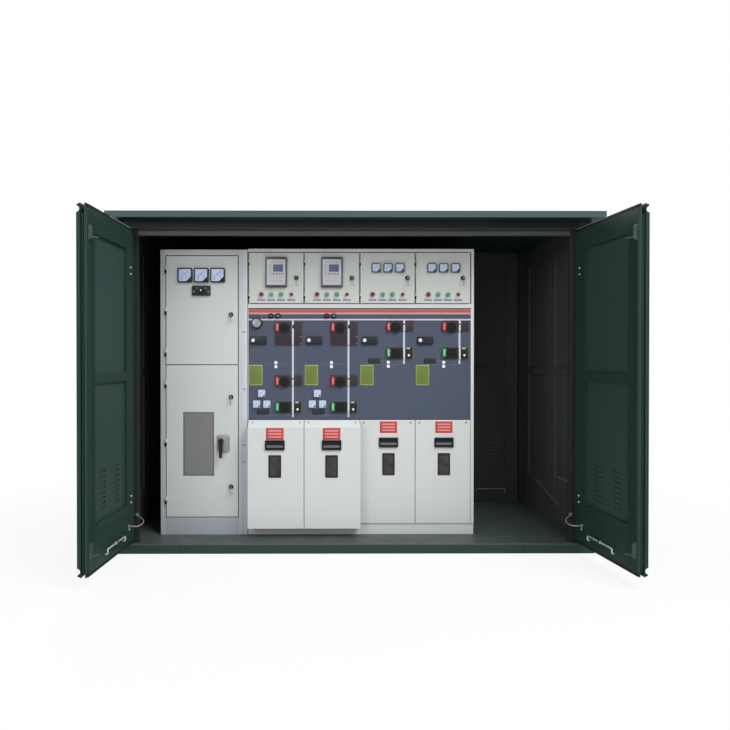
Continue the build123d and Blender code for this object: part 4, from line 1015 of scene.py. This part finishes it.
for kind, spots, dark, bright in (("switch", switch_spots, (0.2, 0.012, 0.02), (0.62, 0.16, 0.16)),
                                  ("earth", earth_spots, (0.012, 0.105, 0.04), (0.2, 0.52, 0.29))):
    rim_finish = moulded(f"{kind}_window_rim", dark, tinted(dark, 0.6), tinted(dark, 1.8), 0.34, 60.0, 0.05)
    flag_finish = moulded(f"{kind}_flag", bright, tinted(bright, 0.75), bright, 0.3, 90.0, 0.03, reach=0.0005)
    places = in_bays(spots, flag_line, rim_out, flag_lift)
    on_gear(f"{kind}_window_rims", "enclosure", "station_plate", rim_finish,
            raised_form(0.028, 0.058, 0.0139, rimmed(0.006, 0.006, 0.003, 0.0015), 6), places)
    on_gear(f"{kind}_flags", "enclosure", "station_plate", flag_finish,
            raised_form(0.0125, 0.043, 0.006, softened(0.003, 0.001), 5), places + flag_out)


# Indicators of the panel: pressure gauge, lamps, voltage indicators, small meters and plain plates.
# Black and pale mouldings snapped into cut-outs, a lacquered gauge dial, coloured lenses on the lamps.
def gauge_marks(right, up):
    """Scale round the dial: ticks by angle near the rim, a coloured arc, a needle and a hub."""
    reach, turn = polar(right, up)
    ticks = both(near(reach, 0.8, 0.08), striped(turn, 5.0, 0.2))
    band = near(reach, 0.66, 0.05)
    safe = both(band, near(turn, 0.6, 0.6))
    low = both(band, near(turn, 2.2, 0.5))
    needle = both(near(turn, 0.9, 0.07), under(reach, 0.62))
    dark = (0.03, 0.03, 0.03)
    return ((ticks, (0.1, 0.1, 0.11)), (safe, (0.12, 0.34, 0.16)), (low, (0.42, 0.09, 0.08)), (needle, dark),
            (under(reach, 0.1), dark))


def indicator_marks(right, up):
    """A faint frame round the window on the right of the case."""
    return ((block(right, up, (-0.28, -0.66, 0.88, 0.66)), (0.03, 0.03, 0.032)),
            (block(right, up, (-0.24, -0.58, 0.84, 0.58)), (0.016, 0.014, 0.016)))


def bordered_marks(right, up):
    """A paler border and rows of short plain bars, slightly darker than the plate."""
    rows = both(striped(up, 5.5, 0.45), block(right, up, (-0.74, -0.78, 0.74, 0.78)))
    return (rows, (0.112, 0.152, 0.03)), (rim_line(right, up, 0.9), (0.26, 0.31, 0.11))


def level(bays, up):
    """The same height in several bays."""
    return [(bay, up) for bay in bays]


all_bays = breaker_bays + load_bays
gauge_spot = [(0, 0.5707)]
gauge_line = 0.0486
gauge_dial_out = 0.0158
lens_out = 0.0068
button_out = 0.0118
gauge_profile = ((0, 0), (0, 0.019), (0.0015, 0.0215), (0.0035, 0.022), (0.005, 0.0205), (0.0055, 0.016))
lamp_spots = level(breaker_bays, 0.6127)
lamp_rim = turned_form(0.016, ((0, 0), (0, 0.006), (0.002, 0.009), (0.006, 0.0095), (0.0072, 0.007)))
lamp_lens = turned_form(0.0086, ((0, 0), (0, 0.003), (0.0012, 0.0055), (0.0034, 0.0072), (0.006, 0.008)))
case_spots = level(all_bays, 0.4679)
case_line = 0.0579
button_line = 0.0275
button_form = turned_form(0.0112, ((0, 0), (0, 0.004), (0.0015, 0.006), (0.005, 0.0072)))
small_meters = ((0.0782, 0.1555), (0.048, 0.0923), (0.1088, 0.0923))
gauge_face = printed("gauge_face", (0.29, 0.3, 0.32), gauge_marks, 0.16, Coat_Weight=0.3)
on_gear("gauge_case", "enclosure", "black_plastic", black, turned_form(0.032, gauge_profile, 8),
        in_bays(gauge_spot, gauge_line), node="panel_indicators")
on_gear("gauge_dial", "enclosure", "instrument_plastic", gauge_face,
        turned_form(0.0264, softened(0.0012, 0.0004), 8), in_bays(gauge_spot, gauge_line, gauge_dial_out))
for kind, right, colour in (("red", 0.1324, (0.2, 0.016, 0.02)), ("green", 0.1744, (0.1, 0.22, 0.1))):
    lens = moulded(f"{kind}_lens", colour, tinted(colour, 0.6), tinted(colour, 1.5), 0.15, 80.0, 0.02,
                   reach=0.0005, Coat_Weight=0.6)
    on_gear(f"{kind}_lamp_rims", "enclosure", "black_plastic", black, lamp_rim, in_bays(lamp_spots, right))
    on_gear(f"{kind}_lamp_lenses", "enclosure", "instrument_plastic", lens, lamp_lens,
            in_bays(lamp_spots, right, lens_out))
case_face = printed("indicator_face", (0.008, 0.008, 0.01), indicator_marks, 0.34)
on_gear("indicator_cases", "enclosure", "black_plastic", case_face,
        raised_form(0.094, 0.046, 0.005, softened(0.012, 0.002)), in_bays(case_spots, case_line))
knob_white = moulded("knob_white", (0.74, 0.75, 0.77), (0.62, 0.63, 0.66), (0.8, 0.8, 0.8), 0.34, 60.0, 0.05,
                     reach=0.0005)
on_gear("indicator_buttons", "enclosure", "black_plastic", knob_white, button_form,
        in_bays(case_spots, button_line, button_out))
pale_frame = moulded("pale_frame", (0.5, 0.56, 0.68), (0.4, 0.45, 0.56), (0.62, 0.66, 0.74), 0.34, 60.0, 0.06)
small_dial = printed("small_dial", (0.5, 0.59, 0.76), dial_marks, 0.24)
small_spots = np.concatenate([in_bays(level(breaker_bays, up), right) for right, up in small_meters])
on_gear("small_meter_cases", "enclosure", "instrument_plastic", pale_frame,
        raised_form(0.042, 0.042, 0.004, rimmed(0.014, 0.003, 0.002, 0.001)), small_spots)
on_gear("small_meter_dials", "enclosure", "instrument_plastic", small_dial,
        raised_form(0.0357, 0.0357, 0.002, dial_profile), small_spots + dial_out)
green_plate = printed("green_plate", (0.14, 0.19, 0.042), bordered_marks, 0.4)
green_places = in_bays(level(all_bays, 0.2635), 0.043)
on_gear("green_plates", "enclosure", "station_plate", green_plate,
        raised_form(0.079, 0.121, 0.002, softened(0.0012, 0.0004)), green_places)
label_bars = [(-0.8, low, 0.8, low + 0.3) for low in (-0.55, 0.2)]
label_face = printed("label_face", (0.014, 0.012, 0.014), boxed((0.035, 0.03, 0.034), label_bars), 0.4)
label_places = [in_bays(level(breaker_bays, 0.0455), 0.0845), in_bays(level(load_bays, 0.3475), 0.085)]
on_gear("black_labels", "enclosure", "station_plate", label_face,
        raised_form(0.072, 0.03, 0.003, softened(0.0015, 0.0005)), np.concatenate(label_places))


# Instruments of the four small doors: protection relays or meters, push-buttons with tags, cylinder locks.
# Dark relay cases with a pale printed front and a display, grey-blue meters, coloured buttons in pale bezels.
def relay_marks(right, up):
    """Dark bars at the head and foot of a pale front, a display, keys, lamps and thin plain lines."""
    squeezed = maths("MULTIPLY", right, relay_aspect)
    bars = [block(right, up, (-1.01, low, 1.01, low + 0.105)) for low in (-1.0, 0.895)]
    sides = [block(right, up, (low, -1.0, low + 0.055, 1.0)) for low in (-1.0, 0.945)]
    display = block(right, up, (-0.3, 0.03, 0.7, 0.53))
    rows = both(striped(up, 16.0, 0.45), block(right, up, (-0.2, 0.1, 0.58, 0.46)))
    lamps = [disc(squeezed, up, (-0.43, height), 0.04) for height in (0.48, 0.32, 0.16, 0.0, -0.16)]
    keys = [disc(squeezed, up, (relay_aspect * (-0.26 + 0.285 * key), -0.12), 0.055) for key in range(4)]
    rules = [block(right, up, (left, low, end, low + 0.02)) for left, low, end in relay_rules]
    inks = ((bars, (0.04, 0.042, 0.05)), (sides, (0.11, 0.115, 0.135)), ([display], (0.075, 0.09, 0.185)),
            ([rows], (0.12, 0.145, 0.26)), (lamps, (0.22, 0.17, 0.2)), (keys, (0.045, 0.045, 0.055)),
            (rules, (0.27, 0.26, 0.29)))
    return [(mask, ink) for masks, ink in inks for mask in masks]


def on_small_door(bay, x_share, z_share, out=0.0):
    """A place on a bay's door, from shares of its width and height."""
    return (small_left + bay * bay_pitch + x_share * small_width, small_foot + z_share * small_height, out)


relay_aspect = 0.7
relay_rules = ((-0.66, 0.66, 0.66), (-0.66, -0.62, 0.62), (-0.52, -0.36, -0.34), (-0.1, -0.34, 0.62))
small_left = bay_line + 0.00485
small_width = 0.319
small_foot = 1.424
small_height = 0.298
relay_spot = (0.497, 0.61)
relay_out = 0.0138
meter_row = 0.7
meter_dial_out = (0, 0, 0.0109)
lock_spot = (0.868, 0.5)
cap_out = 0.0028
button_row = 0.175
tag_row = 0.066
relay_frame = raised_form(0.126, 0.18, 0.004, rimmed(0.018, 0.005, 0.004, 0.0015))
relay_plate = raised_form(0.1157, 0.1697, 0.002, softened(0.001, 0.0004))
meter_frame = raised_form(0.056, 0.056, 0.009, rimmed(0.014, 0.007, 0.003, 0.0012))
bezel_width = 0.005
bezel_profile = ((0, 0), (0, 0.002), (0.002, 0.0042), (0.0042, 0.0044), (0.005, 0.003))
cap_profile = ((0, 0), (0, 0.01), (0.001, 0.0118), (0.003, 0.0124), (0.006, 0.012))
relay_case = coating("relay_case", (0.085, 0.09, 0.105), (0.06, 0.062, 0.072), (0.2, 0.21, 0.23), 0.4,
                     scale=30.0, reach=0.001, grain=1200.0)
relay_front = printed("relay_front", (0.5, 0.5, 0.53), relay_marks, 0.34)
meter_blue = moulded("meter_blue", (0.085, 0.105, 0.155), (0.06, 0.075, 0.115), (0.24, 0.27, 0.34), 0.34,
                     40.0, 0.08)
tag_blocks = [(low, -0.72, low + 0.34, 0.72) for low in (-0.92, -0.4, 0.12, 0.6)]
tag_face = printed("tag_face", (0.44, 0.43, 0.5), boxed((0.1, 0.09, 0.2), tag_blocks), 0.4)
button_kinds = (("red", 0.222, 0.0125, (0.155, 0.024, 0.028), (0.66, 0.5, 0.48)),
                ("teal", 0.405, 0.012, (0.085, 0.3, 0.205), (0.55, 0.62, 0.56)),
                ("green", 0.588, 0.0125, (0.07, 0.28, 0.12), (0.52, 0.64, 0.5)),
                ("small_red", 0.777, 0.0095, (0.12, 0.022, 0.026), (0.66, 0.52, 0.5)))
buttons = []
for kind, share, radius, cap, bezel in button_kinds:
    cap_finish = moulded(f"{kind}_cap", cap, tinted(cap, 0.6), tinted(cap, 1.5), 0.26, 90.0, 0.05)
    bezel_finish = moulded(f"{kind}_bezel", bezel, tinted(bezel, 0.8), (0.72, 0.72, 0.7), 0.3, 90.0, 0.03,
                           reach=0.0005)
    buttons.append((kind, share, radius, cap_finish, bezel_finish))
for bay in all_bays:
    name = f"bay_{bay + 1}"
    body = f"{name}_door"
    replaced = f"{name}_controls"
    if bay in breaker_bays:
        on_gear(f"{name}_relay_case", body, "instrument_plastic", relay_case, relay_frame,
                on_small_door(bay, *relay_spot), node=replaced)
        on_gear(f"{name}_relay_front", body, "instrument_plastic", relay_front, relay_plate,
                on_small_door(bay, *relay_spot, relay_out))
    else:
        spots = np.array([on_small_door(bay, share, meter_row) for share in (0.288, 0.505, 0.725)])
        on_gear(f"{name}_meter_cases", body, "instrument_plastic", meter_blue, meter_frame, spots,
                node=replaced)
        on_gear(f"{name}_meter_dials", body, "instrument_plastic", small_dial,
                raised_form(0.0418, 0.0418, 0.003, dial_profile), spots + meter_dial_out)
    for kind, share, radius, cap_finish, bezel_finish in buttons:
        on_gear(f"{name}_{kind}_bezel", body, "steel", bezel_finish,
                turned_form(radius + bezel_width, bezel_profile), on_small_door(bay, share, button_row))
        on_gear(f"{name}_{kind}_cap", body, "instrument_plastic", cap_finish,
                turned_form(radius, cap_profile), on_small_door(bay, share, button_row, cap_out))
    on_gear(f"{name}_tags", body, "grey_paint", tag_face, raised_form(0.046, 0.0125, 0.001, dial_profile),
            [on_small_door(bay, button[1], tag_row) for button in buttons])
    add_locks(name, body, [on_small_door(bay, *lock_spot)])
